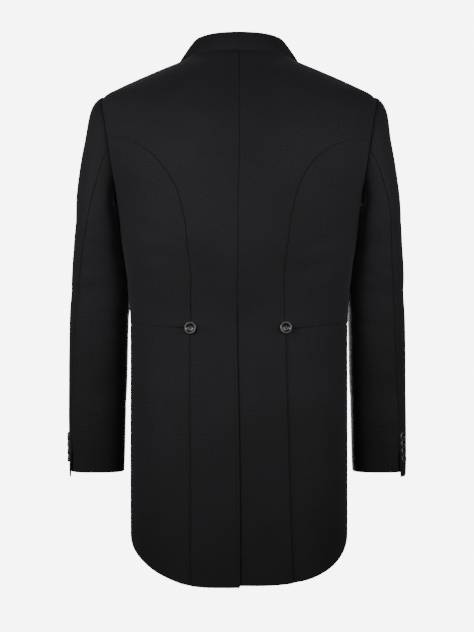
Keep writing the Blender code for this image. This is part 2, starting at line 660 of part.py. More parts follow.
def collar():
    """Collar in one wall: stand up from the neck edge, over the roll, and the fall down outside."""
    last = len(COLLAR["neck_angle"]) - 1
    back = np.linspace(-SHOULDER_STATION, SHOULDER_STATION, 2 * BACK_NECK_STEPS + 1)
    front = np.linspace(SHOULDER_STATION, last, FRONT_NECK_STEPS + 1)
    station = chain(-front[::-1], back, front)
    side = np.where(station < 0, -1, 1)
    places = np.arange(last + 1, dtype=float)
    size = {name: smooth(places, values, np.abs(station)) for name, values in COLLAR.items()}
    neck_out = body_normal(size["neck_angle"] * side, size["neck_height"])
    neck = body_point(size["neck_angle"] * side, size["neck_height"]) - neck_out * CLOTH
    roll = np.stack([size["roll_across"] * side, size["roll_depth"], size["roll_height"]], -1)
    leaf_out = body_normal(size["leaf_angle"] * side, size["leaf_height"])
    clear = CLOTH + size["lift"]
    leaf = body_point(size["leaf_angle"] * side, size["leaf_height"]) + leaf_out * clear[:, None]
    neck = neck + unit(roll - neck) * SEAM_GAP
    outward = unit((leaf - roll) * np.array([1, 1, 0.2]))
    width = np.linalg.norm(leaf - roll, axis=-1, keepdims=True)
    stand = np.linalg.norm(roll - neck, axis=-1, keepdims=True)
    over = outward * np.minimum(width * 0.45, stand * 0.6)
    stand_pull = unit(roll - neck - over * 0.5) * stand
    leaf_pull = unit(leaf - roll - over * 0.6) * width * 0.8
    rows = [hermite(neck, roll, stand_pull, over, share) for share in STAND_SHARES]
    rows += [hermite(roll, leaf, over, leaf_pull, share) for share in FALL_SHARES]
    grid = np.array(rows)
    fall = len(STAND_SHARES) + 2
    grid[fall:] = clear_of_body(grid[fall:], clear)
    normal = unit(np.cross(np.gradient(grid, axis=1), np.gradient(grid, axis=0)))
    normal[0] = -neck_out
    add_wall("collar", grid, normal)


def lapel(side):
    """Peak lapel: the forepart's face beyond the roll line, folded back and lying over it."""
    share = LAPEL_SECTION["share"]
    roll = roll_line()[:LAPEL_ROWS[column(side)]]
    rows = np.linspace(0, 1, len(roll))
    places = np.linspace(0, 1, len(LAPEL_EDGE["left_height"]))
    edge_height = smooth(places, LAPEL_EDGE[column(side, "_height")], rows)
    edge_across = smooth(places, LAPEL_EDGE[column(side, "_across")], rows)
    edge = pair(angle_at(edge_across, edge_height, True), edge_height)
    gorge = roll[0] + (roll[1] - roll[0]) * GORGE_GAP / (roll[0, 1] - roll[1, 1])
    notch_angle = angle_at(LAPEL_NOTCH[0], LAPEL_NOTCH[1], True)
    top = pair(np.interp(share, (0, NOTCH_SHARE, 1), (gorge[0], notch_angle, edge[0, 0])),
               np.interp(share, (0, NOTCH_SHARE, 1), (gorge[1], LAPEL_NOTCH[1], edge[0, 1])))
    roll[0], edge[0] = top[0], top[-1]
    flat = (1 - share[None, :, None]) * roll[:, None] + share[None, :, None] * edge[:, None]
    bend = top - ((1 - share[:, None]) * top[0] + share[:, None] * top[-1])
    flat += bend[None] * np.clip(1 - rows / LAPEL_FADE, 0, 1)[:, None, None]
    angle, height = flat[..., 0] * side, flat[..., 1]
    out = body_normal(angle, height)
    fold = body_point(angle[:, :1], height[:, :1])
    towards = unit(np.cross(np.gradient(fold, axis=0), out)) * side
    width = np.linalg.norm(body_point(angle[:, -1:], height[:, -1:]) - fold, axis=-1)
    narrow = np.clip(width / LAPEL_FULL_WIDTH, LAPEL_THINNEST, 1)[..., None]
    lift = LAPEL_SECTION["lift"][None, :, None]
    lift = LAPEL_REST + (lift - LAPEL_REST) * narrow
    grid = body_point(angle, height) + out * lift + towards * LAPEL_SECTION["past"][None, :, None]
    normal = unit(np.cross(np.gradient(grid, axis=1), np.gradient(grid, axis=0)))
    normal *= np.sign(np.sum(normal[:, -1] * out[:, -1], -1).mean())
    add_wall("lapel_" + column(side), grid, normal)


def waist_buttons():
    """Two buttons at the tops of the side pleats and the one that fastens the front."""
    for name, across, height, front in BODY_BUTTONS:
        angle = angle_at(across, height, front)
        axis = body_normal(angle, height)
        seat = body_point(angle, height) + axis * BUTTON_SEAT
        turned(name, WAIST_BUTTON, seat, axis, WAIST_BUTTON_SIDES)


for old in list(bpy.data.objects):
    bpy.data.objects.remove(old, do_unlink=True)
COAT = bpy.data.collections.new("morning_coat")
bpy.context.scene.collection.children.link(COAT)
WOOL = material("black_wool", (0.012, 0.012, 0.015), 0.85)
HORN = material("dark_horn", (0.03, 0.03, 0.032), 0.35)

for side in (1, -1):
    back_panel(side)
    side_body(side)
    forepart(side)
    skirt(side)
    cuff_buttons(side, *sleeve(side))
    lapel(side)
collar()
waist_buttons()
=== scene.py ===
"""Finished look of a black wool morning coat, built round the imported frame.

Tables and sizes are in millimetres on the frame's own axes: +Z up, the back of the coat towards +Y,
+X towards the wearer's left. Each piece of cloth is a grid of points worked out from the same form,
seam lines and hem as its solid, with rolled edges, pressed seams and shallow creases.
"""

import bpy
import numpy as np
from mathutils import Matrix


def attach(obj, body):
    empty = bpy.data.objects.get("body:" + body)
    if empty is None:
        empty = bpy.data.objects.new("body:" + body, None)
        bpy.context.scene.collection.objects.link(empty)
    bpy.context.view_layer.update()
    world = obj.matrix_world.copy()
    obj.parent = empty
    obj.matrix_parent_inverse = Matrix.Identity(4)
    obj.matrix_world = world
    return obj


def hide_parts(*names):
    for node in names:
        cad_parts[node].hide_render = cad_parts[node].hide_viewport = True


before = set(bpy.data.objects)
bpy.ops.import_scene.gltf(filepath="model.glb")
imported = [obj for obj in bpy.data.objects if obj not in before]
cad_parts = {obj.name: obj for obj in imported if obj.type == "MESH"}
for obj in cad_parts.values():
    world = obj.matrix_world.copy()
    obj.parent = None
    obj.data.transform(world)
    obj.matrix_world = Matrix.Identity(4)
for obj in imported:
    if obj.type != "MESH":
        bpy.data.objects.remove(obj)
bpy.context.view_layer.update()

# Units, and the thickness of the cloth.
MM = 0.001
MM_PER_DEGREE = 2.5
TINY = 1e-9
CLOTH = 2.4

# Laps: how deep cloth sinks under what lies on it, over what run, and where each lap starts.
LAP_DEPTH = CLOTH + 0.6
LAP_RAMP = 26.0
FRONT_OVERLAP = 19.0
FRONT_LAP_TOP = -330.0
FRONT_LAP_FADE = 40.0
FRONT_LAP_PAST = 4.0
VENT_TOP = -452.0
VENT_LEAD = 52.0
VENT_FADE = 48.0
VENT_PAST = 8.0
VENT_UNDERLAP = 36.0
UNDERLAP_RUN = 25.0
PLEAT_UNDERLAP = 20.0
PLEAT_PAST = 8.0

# Corners of the body's pieces, and how fast the bend of their top edge dies away down their rows.
HEM_LEVEL = -870.0
SHOULDER_ANGLE = 88.0
SHOULDER_STATION = 3
SHOULDER_POWER = 1.5
UNDERARM_ANGLE = 100.0
SKIRT_CORNER_ANGLE = 80.0
FRONT_CORNER_ANGLE = 185.0
SHOULDER_FADE = 0.17
SIDE_FADE = 0.6
LAPEL_FADE = 0.3

# Threads on the body: millimetres to a turn, and the height above which they bend over the shoulder.
WEAVE_RADIUS = 155.0
SHOULDER_BEND = -120.0

# Sleeve: its levels and section, how its head is spaced and arrives at the arm, and its clearance.
SLEEVE_RING_TOP = -270.0
CUFF_HEIGHT = -700.0
SLEEVE_SQUARENESS = 2.6
CAP_SPACING = 1.3
CAP_ARRIVAL = 1.25
CAP_PROBE = 5.0
SLEEVE_CLEARANCE = -0.5
CLEARANCE_RUN = 9.0
LEAST_SLOPE = 0.3
TAPE_DEPTH = 3.0
TAPE_RADIUS = 2.6

# Cuff vent: where its seam lets go, how far its lips lift, sink and reach, and the tip of the upper one.
CUFF_VENT_TOP = -610.0
VENT_LET_GO = 30.0
VENT_LET_GO_RUN = 20.0
VENT_LIFT = 2.0
VENT_SINK = 3.4
VENT_LAP = 8.0
VENT_REACH = {"left": 10.0, "right": 5.0}
VENT_CURL = 22.0
VENT_TIP = 7.8
VENT_TIP_WIDTH = 30.0
VENT_TIP_PEAK = 1.8
VENT_TIP_REACH = 26.0

# Lapel: how high its edge lies, how flat a narrow one is, its notch and its gap to the collar.
LAPEL_REST = 4.0
LAPEL_FULL_WIDTH = 40.0
LAPEL_THINNEST = 0.35
NOTCH_SHARE = 0.43
GORGE_GAP = 1.6

# Collar: pulls of its two cubics at the roll, the neck and the leaf edge, in shares of stand and fall.
ROLL_PULL_FALL = 0.45
ROLL_PULL_STAND = 0.6
ROLL_SLOPE = 0.2
STAND_BEND = 0.5
LEAF_BEND = 0.6
LEAF_PULL = 0.8

# Creases: the low ridge beside each trough, the run over which the back's give way to the front's, the
# slant of the sleeves' to the turn, and how much higher the right sleeve's lie.
CREASE_RIDGE = 0.45
CREASE_RIDGE_OFF = 1.7
CREASE_BLEND = 30.0
CREASE_SLANT = 0.9
RIGHT_CREASE_RISE = 8.0

# Edges: a rolled edge is half a circle as thick as the cloth, and a seam is pressed in beside it.
EDGE_LINES = np.array([0.2, 0.55, 1.0, 1.6, 2.4])
PRESS_DEPTH = 0.45
PRESS_REACH = 4.5
PUCKER_DEPTH = 0.05
PUCKER_REACH = 7.0
PUCKER_WAVE = 9.0
PUCKER_DRIFT = 31.0

# Painted shade, darkening the cloth's colour in seams, under laps and the collar's edge, and along the
# rows of stitches: depth and reach.
SEAM_SHADE = 1.15
SEAM_SHADE_DEPTH = 0.52
LAP_SHADE = 1.7
PLEAT_SHADE = 0.45
COLLAR_SHADE = 0.8
COLLAR_SHADE_DROP = 1.2
ROW_SHADE = 0.9
HEAD_ROW_DARK = 0.95
EDGE_ROW_DARK = 0.35
ROW_END_FADE = 2.0
ROW_HEAD_FADE = 3.0
VENT_SEAM_FADE = 12.0
PLEAT_SEAM_FADE = 6.0

# Grid steps of the pieces, each cut finely, and the rows at which the collar changes.
FINE = 5
NECK_STEPS = 6
SHOULDER_STEPS = 4
HOLE_STEPS = 4
SEAM_STEPS = 18
SKIRT_STEPS = 12
SIDE_STEPS = 8
FOREPART_STEPS = 11
FRONT_HOLE_STEPS = 9
UNDERARM_STEPS = 3
FRONT_NECK_STEPS = 4
ROLL_STEPS = 16
CORNER_STEPS = 1
PLEAT_STEPS = 2
FORE_SKIRT_STEPS = 6
TOP_HIND_STEPS = 6
UNDER_STEPS = 9
TOP_FORE_STEPS = 8
CAP_STEPS = 10
ARM_STEPS = 18
COLLAR_STEPS = 36
STAND_STEPS = 4
FALL_STEPS = 7
FALL_REST = 5
FALL_SETTLE = 2
NECK_HOLD = 1.5
LAPEL_ROLL_SHARE = 0.24
LAPEL_ROLL_ROWS = 14
LAPEL_STEPS = 8
HOLE_POINTS = 145

# Buttons: how they sit, the rows of their turned faces and the four holes.
BUTTON_SEAT = 0.45
CUFF_BUTTON_SEAT = -1.2
CUFF_BUTTON_HEIGHT = -638.5
CUFF_BUTTON_TURNS = {"left": (21, 28), "right": (25, 30)}
CUFF_BUTTON_SPINS = (12, -20, 31, 4)
CUFF_BUTTON_HOLES = 0.74
BUTTON_PITCH = 12.7
BUTTON_TILT = 7.0
BUTTON_SIDES = 72
FACE_ROWS = 26
RIM_ROWS = 52
PIERCED_ROWS = 30
RIM_FROM = 0.66
RIM_RUN = 0.16
HOLE_SPREAD = 1.55
HOLE_RADIUS = 0.72
HOLE_WALL = 0.22
HOLE_DEPTH = 1.4

# Thread of the buttons: strands over the face, and the wound shank.
STRAND_GAP = 0.26
STRAND_RADIUS = 0.17
STRAND_RISE = 0.34
STRAND_DROP = 0.1
STRAND_DIP = 1.3
SHANK_TURNS = 5
SHANK_RADIUS = 1.1
WINDING_REACH = 1.15
WINDING_RADIUS = 0.3

# Stitches: one stitch, and the two rows of them beside the vent.
STITCH_RISE = 0.2
STITCH_SINK = 0.06
STITCH_LENGTH = 2.3
STITCH_TAPER = 0.8
HEAD_STITCH = {"pitch": 3.0, "width": 0.5}
EDGE_STITCH = {"pitch": 3.2, "width": 0.42}
VENT_ROW_FROM = 4.5
VENT_ROW_TO = 66.0
VENT_ROW_HEIGHT = -453.5
VENT_EDGE_ROW = 5.5

# Buttonhole: its loop, its eye, the cord along it and the slit inside.
BUTTONHOLE_FROM = -3.0
BUTTONHOLE_TO = 22.0
BUTTONHOLE_HALF = 1.0
BUTTONHOLE_HEIGHT = -433.0
BUTTONHOLE_SQUARENESS = 0.35
EYE_HALF = 1.0
EYE_PLACE = 0.06
EYE_REACH = 0.07
CORD_RADIUS = 0.62
CORD_RISE = 0.25
SLIT_RADIUS = 0.42
SLIT_INSET = (0.6, 0.8)

# Colours, weave and studio.
# Painted shade: the near-black of the buttonhole's slit and the armhole tape.
SLIT_DARK = (0.002, 0.002, 0.0022, 1.0)
AIR_WHITE = 7.0
FLOOR_WHITE = (0.9, 0.9, 0.9, 1.0)
FLOOR_GLOW = 2.2
FLOOR_HEIGHT = -1500.0
FLOOR_RADIUS = 2900.0
FLOOR_FADE = (1.6, 2.7)
TWILL_RATE = 2 * np.pi / 0.0011
WOOL_DARK = (0.0045, 0.0045, 0.0052, 1.0)
WOOL_LIGHT = (0.0245, 0.0245, 0.028, 1.0)
# Painted shade: the near-black the cloth's colour is drawn towards in seams, under laps and along stitch
# rows.
WOOL_PAINTED_SHADE = (0.0012, 0.0012, 0.0014, 1.0)
HORN_DARK = (0.012, 0.012, 0.013, 1.0)
# Horn: its dark and light streaks; the light one also paints the highlight on the rim.
HORN_LIGHT = (0.13, 0.13, 0.134, 1.0)
THREAD_DARK = (0.004, 0.004, 0.005, 1.0)
THREAD_LIGHT = (0.014, 0.014, 0.016, 1.0)
CAMERA_PLACE = (0.0034, 3.0, -0.432)
CAMERA_LENS = 100.55
SENSOR_HEIGHT = 36.0

# Soft lights, in metres: name, place, aim, width, height and power.
LIGHTS = (
    ("side_soft", (-0.85, 0.8, -0.1), (-0.2125, 0.0, -0.18), 0.4, 0.4, 4.6),
    ("side_soft", (0.85, 0.8, -0.1), (0.2125, 0.0, -0.18), 0.4, 0.4, 5.8),
    ("middle_soft", (0.05, 1.0, -0.27), (0.0, 0.0, -0.28), 1.7, 0.25, 4.0),
    ("edge_strip", (-2.1, 0.5, -0.15), (-0.21, 0.0, -0.25), 0.6, 0.5, 4.0),
    ("edge_strip", (2.1, 0.5, -0.15), (0.21, 0.0, -0.25), 0.6, 0.5, 4.0),
    ("front_soft", (0.3, -3.2, -0.5), (0.0, 0.0, -0.4), 1.6, 1.4, 130.0),
)


def table(columns, rows):
    """Named columns, as arrays, of rows that share one order."""
    return dict(zip(columns.split(), np.array(rows, float).T))


# Body form: a squared ellipse at each height.
BODY = table("height half_width back_depth front_depth squareness", (
    (-900, 183, 133, 128, 2.40),
    (-760, 184, 132, 128, 2.40),
    (-660, 184, 129, 127, 2.40),
    (-580, 184, 123, 126, 2.35),
    (-500, 184, 112, 123, 2.25),
    (-440, 184.6, 108, 122, 2.20),
    (-370, 190, 117, 126, 2.25),
    (-300, 200, 130, 130, 2.30),
    (-231, 210, 137, 130, 2.30),
    (-190, 228, 137, 127, 2.30),
    (-150, 240, 133, 122, 2.30),
    (-120, 245, 128, 116, 2.25),
    (-95, 243.5, 122, 108, 2.15),
    (-76, 239, 115, 100, 2.10),
    (-60, 229, 109, 93, 2.00),
    (-45, 201, 102, 84, 2.00),
    (-30, 168, 94, 75, 2.00),
    (-15, 133, 84, 62, 2.00),
    (0, 98, 71, 52, 2.05),
    (10, 84, 65, 47, 2.10),
    (24, 76, 58, 44, 2.10),
    (44, 71, 50, 42, 2.10),
))

# Centre back line, from the neck to the hem.
CENTRE_BACK = table("height across", (
    (-875, -1.5), (-780, -1.5), (-634, 0.0), (-536, 1.8), (-471, 3.4), (-405, 3.4),
    (-340, 1.8), (-244, 1.8), (-179, -0.7), (25, -0.7),
))

# Side body seam after its start on the armhole: across and height for each side.
SIDE_SEAM = table("left_across left_height right_across right_height", (
    (200, -136, 200, -139), (179, -142, 179, -144), (159, -154, 159, -151), (139, -170, 139, -162),
    (118, -196, 116, -186), (96, -243, 91, -243), (86.6, -292, 81.6, -292), (79.7, -357, 74.4, -357),
    (79.6, -422, 74.7, -422), (79.6, -451.5, 76, -452.4),
))

# Pleat line from the waist button to the hem.
PLEAT = table("height left right", (
    (-880, 78, 88), (-780, 78.2, 84.3), (-660, 78.4, 80.8), (-545, 79.5, 77.6), (-450, 79.6, 76),
))

# Waist seam, and the hem with the cutaway edge: height by the angle from the centre back.
WAIST = table("angle left right", (
    (20, -451.5, -452.5), (43, -451, -452.3), (48, -450.6, -451.2), (57, -450, -449.5),
    (74, -448.5, -445.5), (100, -448, -446), (140, -452, -451), (190, -461, -461),
))
HEM = table("angle left right", (
    (0, -874.3, -871.6), (20, -874.6, -871.2), (31, -873, -869.8), (37, -870.6, -868),
    (43, -865.2, -865.2), (55, -851.6, -854.6), (63, -839, -843.4), (71, -825.8, -829),
    (80, -809, -811), (90, -790, -792), (105, -753, -754), (120, -702, -702),
    (135, -641, -641), (150, -576, -576), (165, -514, -514), (185, -461, -461),
))

# Armhole: a turn round it from the shoulder point, backwards, and its place on the body form.
ARMHOLE = table("turn angle height", (
    (0, 88, -61), (30, 81.5, -78), (55, 75.6, -110), (70, 73.6, -135), (80, 73.1, -157),
    (105, 74, -190), (135, 79.5, -222), (160, 87, -237), (180, 94, -241), (205, 103, -233),
    (235, 111, -205), (270, 115.5, -160), (305, 111.5, -112), (335, 100, -77), (360, 88, -61),
))
SIDE_SEAM_TURN = 70.0
HIND_SEAM_TURN = 80.0
UNDERARM_TURN = 192.0
FORE_SEAM_TURN = 235.0

# Sleeve below the armhole: its outer and inner edges across, and its depth.
SLEEVE = table("height left_outer left_inner right_outer right_inner depth half_depth", (
    (-720, 290, 200, 285, 198, -62, 47),
    (-681, 292, 198, 286, 195.5, -61, 48),
    (-611, 292.5, 196, 285.5, 193.5, -57, 52),
    (-542, 292, 193, 285, 190.5, -53, 57),
    (-473, 290.5, 191.3, 284, 189, -48, 61),
    (-438, 289.5, 189.8, 283, 187.8, -45, 64),
    (-404, 287.5, 187.5, 281, 186.5, -40, 66),
    (-361, 284.5, 189.5, 280, 189.5, -33, 70),
    (-318, 281, 194, 277, 194, -26, 73),
    (-270, 275.5, 200.5, 273, 200.5, -18, 76),
))
# Hind-arm seam across on each sleeve, from the ring below the armhole to the cuff.
HIND_SEAM = table("height left right", (
    (-720, 288.5, 276), (-692, 288, 275), (-627, 286.5, 271), (-576, 285, 269), (-519, 283, 265),
    (-433, 276, 261.5), (-376, 269.5, 258), (-326, 262.6, 254.5), (-282, 254, 252), (-248, 247, 250.5),
))
FORE_SEAM_RING_TURN = 218.0

# How the sleeve leaves the armhole: the start of each run of cloth, by the turn.
SLEEVE_START = table("turn out back up", (
    (0, 90, 0, -9), (45, 75, 14, -22), (80, 45, 8, -45), (130, 24, 4, -20), (180, 14, 0, 3),
    (235, 30, -8, -20), (300, 70, -20, -20), (360, 90, 0, -9),
))

# Fine fit of the outer sleeve to its outline: outward move by height for each side.
OUTER_FIT = table("height left right", (
    (-730, 1.6, 3.4), (-640, 1.6, 3.4), (-540, 1.6, 2.6), (-320, 1.6, 2.4), (-270, 1.8, 2.6),
    (-235, 1.8, 1.6),
    (-201, 0.0, -0.8), (-167, -2.0, -3.0), (-133, -3.4, -4.6), (-116, -2.6, -3.4), (-99, -1.0, -1.2),
    (-82, 1.0, 1.0), (-66, 2.6, 2.2), (-58, 0.8, 0.8), (-50, 0.0, 0.0),
))
OUTER_FIT_FROM = 231.0
OUTER_FIT_FADE = 22.0

# Soft folds of the sleeve: middle height and turn, reach in height and turn, depth.
SLEEVE_FOLDS = table("height turn high round deep", (
    (-318, 120, 17, 55, 2.6), (-352, 95, 15, 48, 2.2), (-392, 70, 17, 60, 2.4),
    (-430, 285, 18, 60, 2.6), (-475, 300, 16, 50, 2.0), (-560, 100, 24, 60, 1.6),
))

# Neck edge from the centre back to the gorge, with the roll and the leaf edge of the collar and how
# far it lies off the panels.
COLLAR = table("neck_angle neck_height roll_across roll_depth roll_height leaf_angle leaf_height lift", (
    (0, 19, 0, 53, 43, 0, 10.4, 0.5),
    (30, 18, 28, 49, 42.5, 28, 10.2, 0.5),
    (60, 14, 55, 34, 40.5, 54, 6.6, 0.6),
    (88, 9, 71.5, 6, 36.5, 84, 2.2, 0.8),
    (104, 4, 71, -22, 27, 102.5, -6, 0.9),
    (122, -12, 69.5, -50, 8, 115.5, -25, 0.9),
    (134.5, -32, 67, -74, -20, 123.5, -43, 0.9),
    (142.5, -52, 64, -91, -47, 129.5, -60, 0.9),
))

# Cloth cut for each piece, laid flat: width and length, and its area on each side.
CUTS = {
    "back": (250, 905, 106500, 121000),
    "side_body": (205, 330, 54500, 56000),
    "forepart": (240, 510, 90500, 90500),
    "skirt": (435, 460, 124500, 124000),
    "top_sleeve": (235, 662, 124500, 127000),
    "under_sleeve": (188, 565, 84000, 78000),
    "lapel": (105, 411, 23000, 21500),
    "collar": (481, 78, 30000, 30000),
}

# Columns that change sign from one side of the collar to the other.
COLLAR_ODD = ("neck_angle", "roll_across", "leaf_angle")

# Roll line, and the outer edge of each lapel from the peak to its end: across, by height.
ROLL_LINE = table("height across", (
    (-428, -19), (-415, -15), (-380, -1), (-320, 16), (-220, 38), (-120, 55.5), (-52, 65),
))
LAPEL_EDGE = table("left_height left_across right_height right_across", (
    (-48, 150, -48, 150), (-110, 141, -110, 141), (-180, 119, -178, 119), (-245, 90, -238, 91),
    (-305, 54, -290, 58), (-350, 25, -330, 30), (-385, 4, -346, 17), (-404.5, -5, -357.5, 10),
))
LAPEL_NOTCH = (103.0, -61.8)
LAPEL_END = {"left": -404.5, "right": -357.5}
# Lapel from the roll line outwards: share of its width, distance past the roll line, and lift.
LAPEL_SECTION = table("share past lift", (
    (0.0, 3.6, -0.6), (0.04, 4.5, 3.0), (0.12, 2.2, 6.4), (0.24, 0.0, 6.9), (0.43, 0.0, 6.0),
    (0.62, 0.0, 4.9), (0.82, 0.0, 4.2), (1.0, 0.0, 4.0),
))

# Buttons on the body: across, height, whether on the front, and how far each is turned.
BODY_BUTTONS = (
    ("waist_button_left", 79.4, -451.5, False, 24),
    ("waist_button_right", -76.1, -451.0, False, -9),
    ("front_button", 0.0, -433.0, True, 38),
)
# Turned profiles: radius and height above the cloth, from the middle of the face to the underside.
WAIST_BUTTON = table("radius height", (
    (0.0, 2.5), (3.6, 2.65), (5.8, 3.3), (7.4, 4.6), (8.5, 5.0), (9.4, 4.6), (9.95, 3.7), (9.8, 2.7),
    (8.8, 2.0), (3.4, 1.6), (1.2, 1.6), (0.4, 1.6),
))
CUFF_BUTTON = table("radius height", (
    (0.0, 2.4), (2.7, 2.5), (4.2, 2.95), (5.2, 3.9), (6.0, 4.2), (6.8, 3.9), (7.3, 3.0), (7.2, 1.8),
    (6.6, 1.0), (2.6, 0.7), (1.0, 0.7), (0.3, 0.7),
))

# Shallow creases in the body's cloth: middle, half length, half width, tilt from level, and depth.
BACK_CREASES = table("across height long wide tilt deep", (
    (150, -292, 46, 13, 24, 1.5), (132, -332, 40, 11, 17, 1.1), (158, -372, 34, 10, 9, 0.8),
    (-146, -306, 44, 13, -26, 1.4), (-128, -350, 38, 11, -15, 1.0), (-160, -388, 30, 9, -8, 0.8),
    (34, -402, 30, 9, 8, 0.35), (-40, -414, 34, 10, -6, 0.35), (120, -560, 90, 24, 84, 1.3),
    (-126, -600, 100, 26, -86, 1.3), (44, -640, 120, 20, 88, 0.9), (-36, -700, 110, 18, -88, 0.8),
    (196, -150, 34, 12, 70, 1.0), (-196, -156, 34, 12, -70, 1.0), (60, -60, 40, 15, -24, 0.7),
    (-60, -62, 40, 15, 24, 0.7),
))
FRONT_CREASES = table("across height long wide tilt deep", (
    (70, -404, 60, 10, 30, 1.3), (96, -372, 52, 11, 22, 1.0), (-70, -410, 58, 10, -28, 1.2),
    (-98, -376, 50, 11, -20, 1.0), (150, -250, 60, 16, 62, 1.2), (-152, -262, 58, 16, -60, 1.2),
    (120, -560, 90, 22, 78, 1.2), (-122, -580, 96, 24, -78, 1.2),
))
# Finer creases on each sleeve: middle height and turn, half length round, half width, tilt, depth.
SLEEVE_CREASES = table("height turn round high tilt deep", (
    (-296, 60, 40, 8, 30, 0.9), (-334, 140, 46, 7, -22, 1.0), (-372, 110, 50, 8, 18, 1.1),
    (-412, 60, 42, 8, -26, 0.9), (-448, 130, 54, 9, 14, 0.9), (-404, 300, 50, 8, -20, 1.2),
    (-440, 250, 44, 8, 24, 1.1), (-486, 285, 46, 9, -14, 0.9), (-520, 60, 40, 10, 20, 0.7),
    (-585, 200, 50, 11, -12, 0.7), (-640, 70, 40, 12, 10, 0.5),
))


def smooth(places, values, at):
    """Curve through the values that keeps their rises and falls (monotone cubic)."""
    order = np.argsort(places)
    places, values = places[order], values[order]
    step = np.diff(places)
    slope = np.diff(values) / step
    before, after = slope[:-1], slope[1:]
    turning = before * after <= 0
    weight_one = 2 * step[1:] + step[:-1]
    weight_two = step[1:] + 2 * step[:-1]
    below = weight_one * after + weight_two * before
    inner = (weight_one + weight_two) * before * after / np.where(turning, 1.0, below)
    tangent = np.concatenate([slope[:1], np.where(turning, 0.0, inner), slope[-1:]])
    at = np.clip(np.asarray(at, float), places[0], places[-1])
    left = np.clip(np.searchsorted(places, at) - 1, 0, len(step) - 1)
    t = (at - places[left]) / step[left]
    return (values[left] * (2 * t**3 - 3 * t**2 + 1)
            + values[left + 1] * (3 * t**2 - 2 * t**3)
            + step[left] * (tangent[left] * (t**3 - 2 * t**2 + t) + tangent[left + 1] * (t**3 - t**2)))


def read(rows, name, at):
    """One column of a table, as a smooth curve over the table's first column."""
    return smooth(next(iter(rows.values())), rows[name], at)


def steps(start, end, count):
    """Even run of numbers or points: so many steps, each cut finely."""
    return np.linspace(start, end, count * FINE + 1)


def bell(away, reach):
    """Bell: e to the power of -(away / reach)^2."""
    return np.exp(-(away / reach) ** 2)


def on_path(path, reach, at):
    """Places on a path of points, each this far on by the measure that rises along it."""
    return np.stack([np.interp(at, reach, values) for values in path.T], -1)


def ease(share):
    """Rise from 0 to 1 with level ends: 3s^2 - 2s^3."""
    share = np.clip(share, 0, 1)
    return share * share * (3 - 2 * share)


def hermite(start, end, start_pull, end_pull, t):
    """Cubic from start to end that leaves and arrives along the two pulls."""
    return (start * (2 * t**3 - 3 * t**2 + 1) + end * (3 * t**2 - 2 * t**3)
            + start_pull * (t**3 - 2 * t**2 + t) + end_pull * (t**3 - t**2))


def unit(vectors):
    """Vectors scaled to length one."""
    return vectors / np.maximum(np.linalg.norm(vectors, axis=-1, keepdims=True), TINY)


def body_point(angle, height):
    """Body form: |sin a / width|^p + |cos a / depth|^p = r^-p, with a from the centre back."""
    turn = np.radians(angle)
    depth = np.where(np.cos(turn) > 0, read(BODY, "back_depth", height), read(BODY, "front_depth", height))
    power = read(BODY, "squareness", height)
    across = np.abs(np.sin(turn) / read(BODY, "half_width", height)) ** power
    along = np.abs(np.cos(turn) / depth) ** power
    reach = (across + along) ** (-1 / power)
    return np.stack([reach * np.sin(turn), reach * np.cos(turn), height + 0 * reach], -1)


def body_normal(angle, height):
    """Outward normal of the body form, from two short steps on it."""
    round_step = body_point(angle + 0.1, height) - body_point(angle - 0.1, height)
    up_step = body_point(angle, height + 0.5) - body_point(angle, height - 0.5)
    return unit(np.cross(up_step, round_step))


def angle_at(across, height, front=False):
    """Angle on the body form of a point this far across at this height."""
    power = read(BODY, "squareness", height)
    depth = read(BODY, "front_depth" if front else "back_depth", height)
    share = np.clip(np.abs(across) / read(BODY, "half_width", height), 0, 1)
    along = depth * (1 - share**power) ** (1 / power)
    angle = np.degrees(np.arctan2(across, -along if front else along))
    return np.where(angle < -90, angle + 360, angle)


def column(side, name=""):
    """Name of a table's column for one side."""
    return ("left" if side > 0 else "right") + name


def waist_height(angle, side):
    """Height of the waist seam at an angle."""
    return read(WAIST, column(side), angle)


def hem_height(angle, side):
    """Height of the hem and cutaway edge at an angle."""
    return read(HEM, column(side), angle)


def centre_line(height):
    """How far across the centre back line lies at a height."""
    return read(CENTRE_BACK, "across", height)


def pair(angle, height):
    """Points as rows of angle and height."""
    angle, height = np.broadcast_arrays(np.asarray(angle, float), np.asarray(height, float))
    return np.stack([angle, height], -1)


def chain(*runs):
    """Runs of points joined end to end, each shared end once."""
    return np.concatenate([runs[0]] + [run[1:] for run in runs[1:]])


def curve_through(points, count):
    """Smooth curve through points of angle and height, in about evenly long steps."""
    length = np.linalg.norm(np.diff(points, axis=0) * np.array([MM_PER_DEGREE, 1]), axis=1)
    length = np.concatenate([[0], np.cumsum(length)])
    at = np.linspace(0, length[-1], count + 1)
    return np.stack([smooth(length, points[:, k], at) for k in range(2)], -1)


def patch(top, bottom, rear, front, top_fade=1.0):
    """Grid between four edges: straight rows, bent like the top and the bottom edge near them."""
    v = np.linspace(0, 1, len(rear))[:, None, None]
    u = np.linspace(0, 1, len(top))[None, :, None]
    straight = (1 - u) * rear[:, None] + u * front[:, None]
    top_bend = top - ((1 - u) * top[0] + u * top[-1])
    bottom_bend = bottom - ((1 - u) * bottom[0] + u * bottom[-1])
    return straight + top_bend * np.clip(1 - v / top_fade, 0, 1) + bottom_bend * v


def armhole(turn):
    """Armhole points as rows of angle and height."""
    return pair(read(ARMHOLE, "angle", turn), read(ARMHOLE, "height", turn))


def side_seam(side):
    """Side body seam from the armhole to the waist."""
    height = SIDE_SEAM[column(side, "_height")]
    angle = angle_at(SIDE_SEAM[column(side, "_across")], height)
    points = np.concatenate([armhole(SIDE_SEAM_TURN)[None], pair(angle, height)])
    return curve_through(points, SEAM_STEPS * FINE)


def pleat(height, side, inward=0.0):
    """Angle of the pleat line, or of a line further in, at these heights."""
    return angle_at(read(PLEAT, column(side), height) - inward, height)


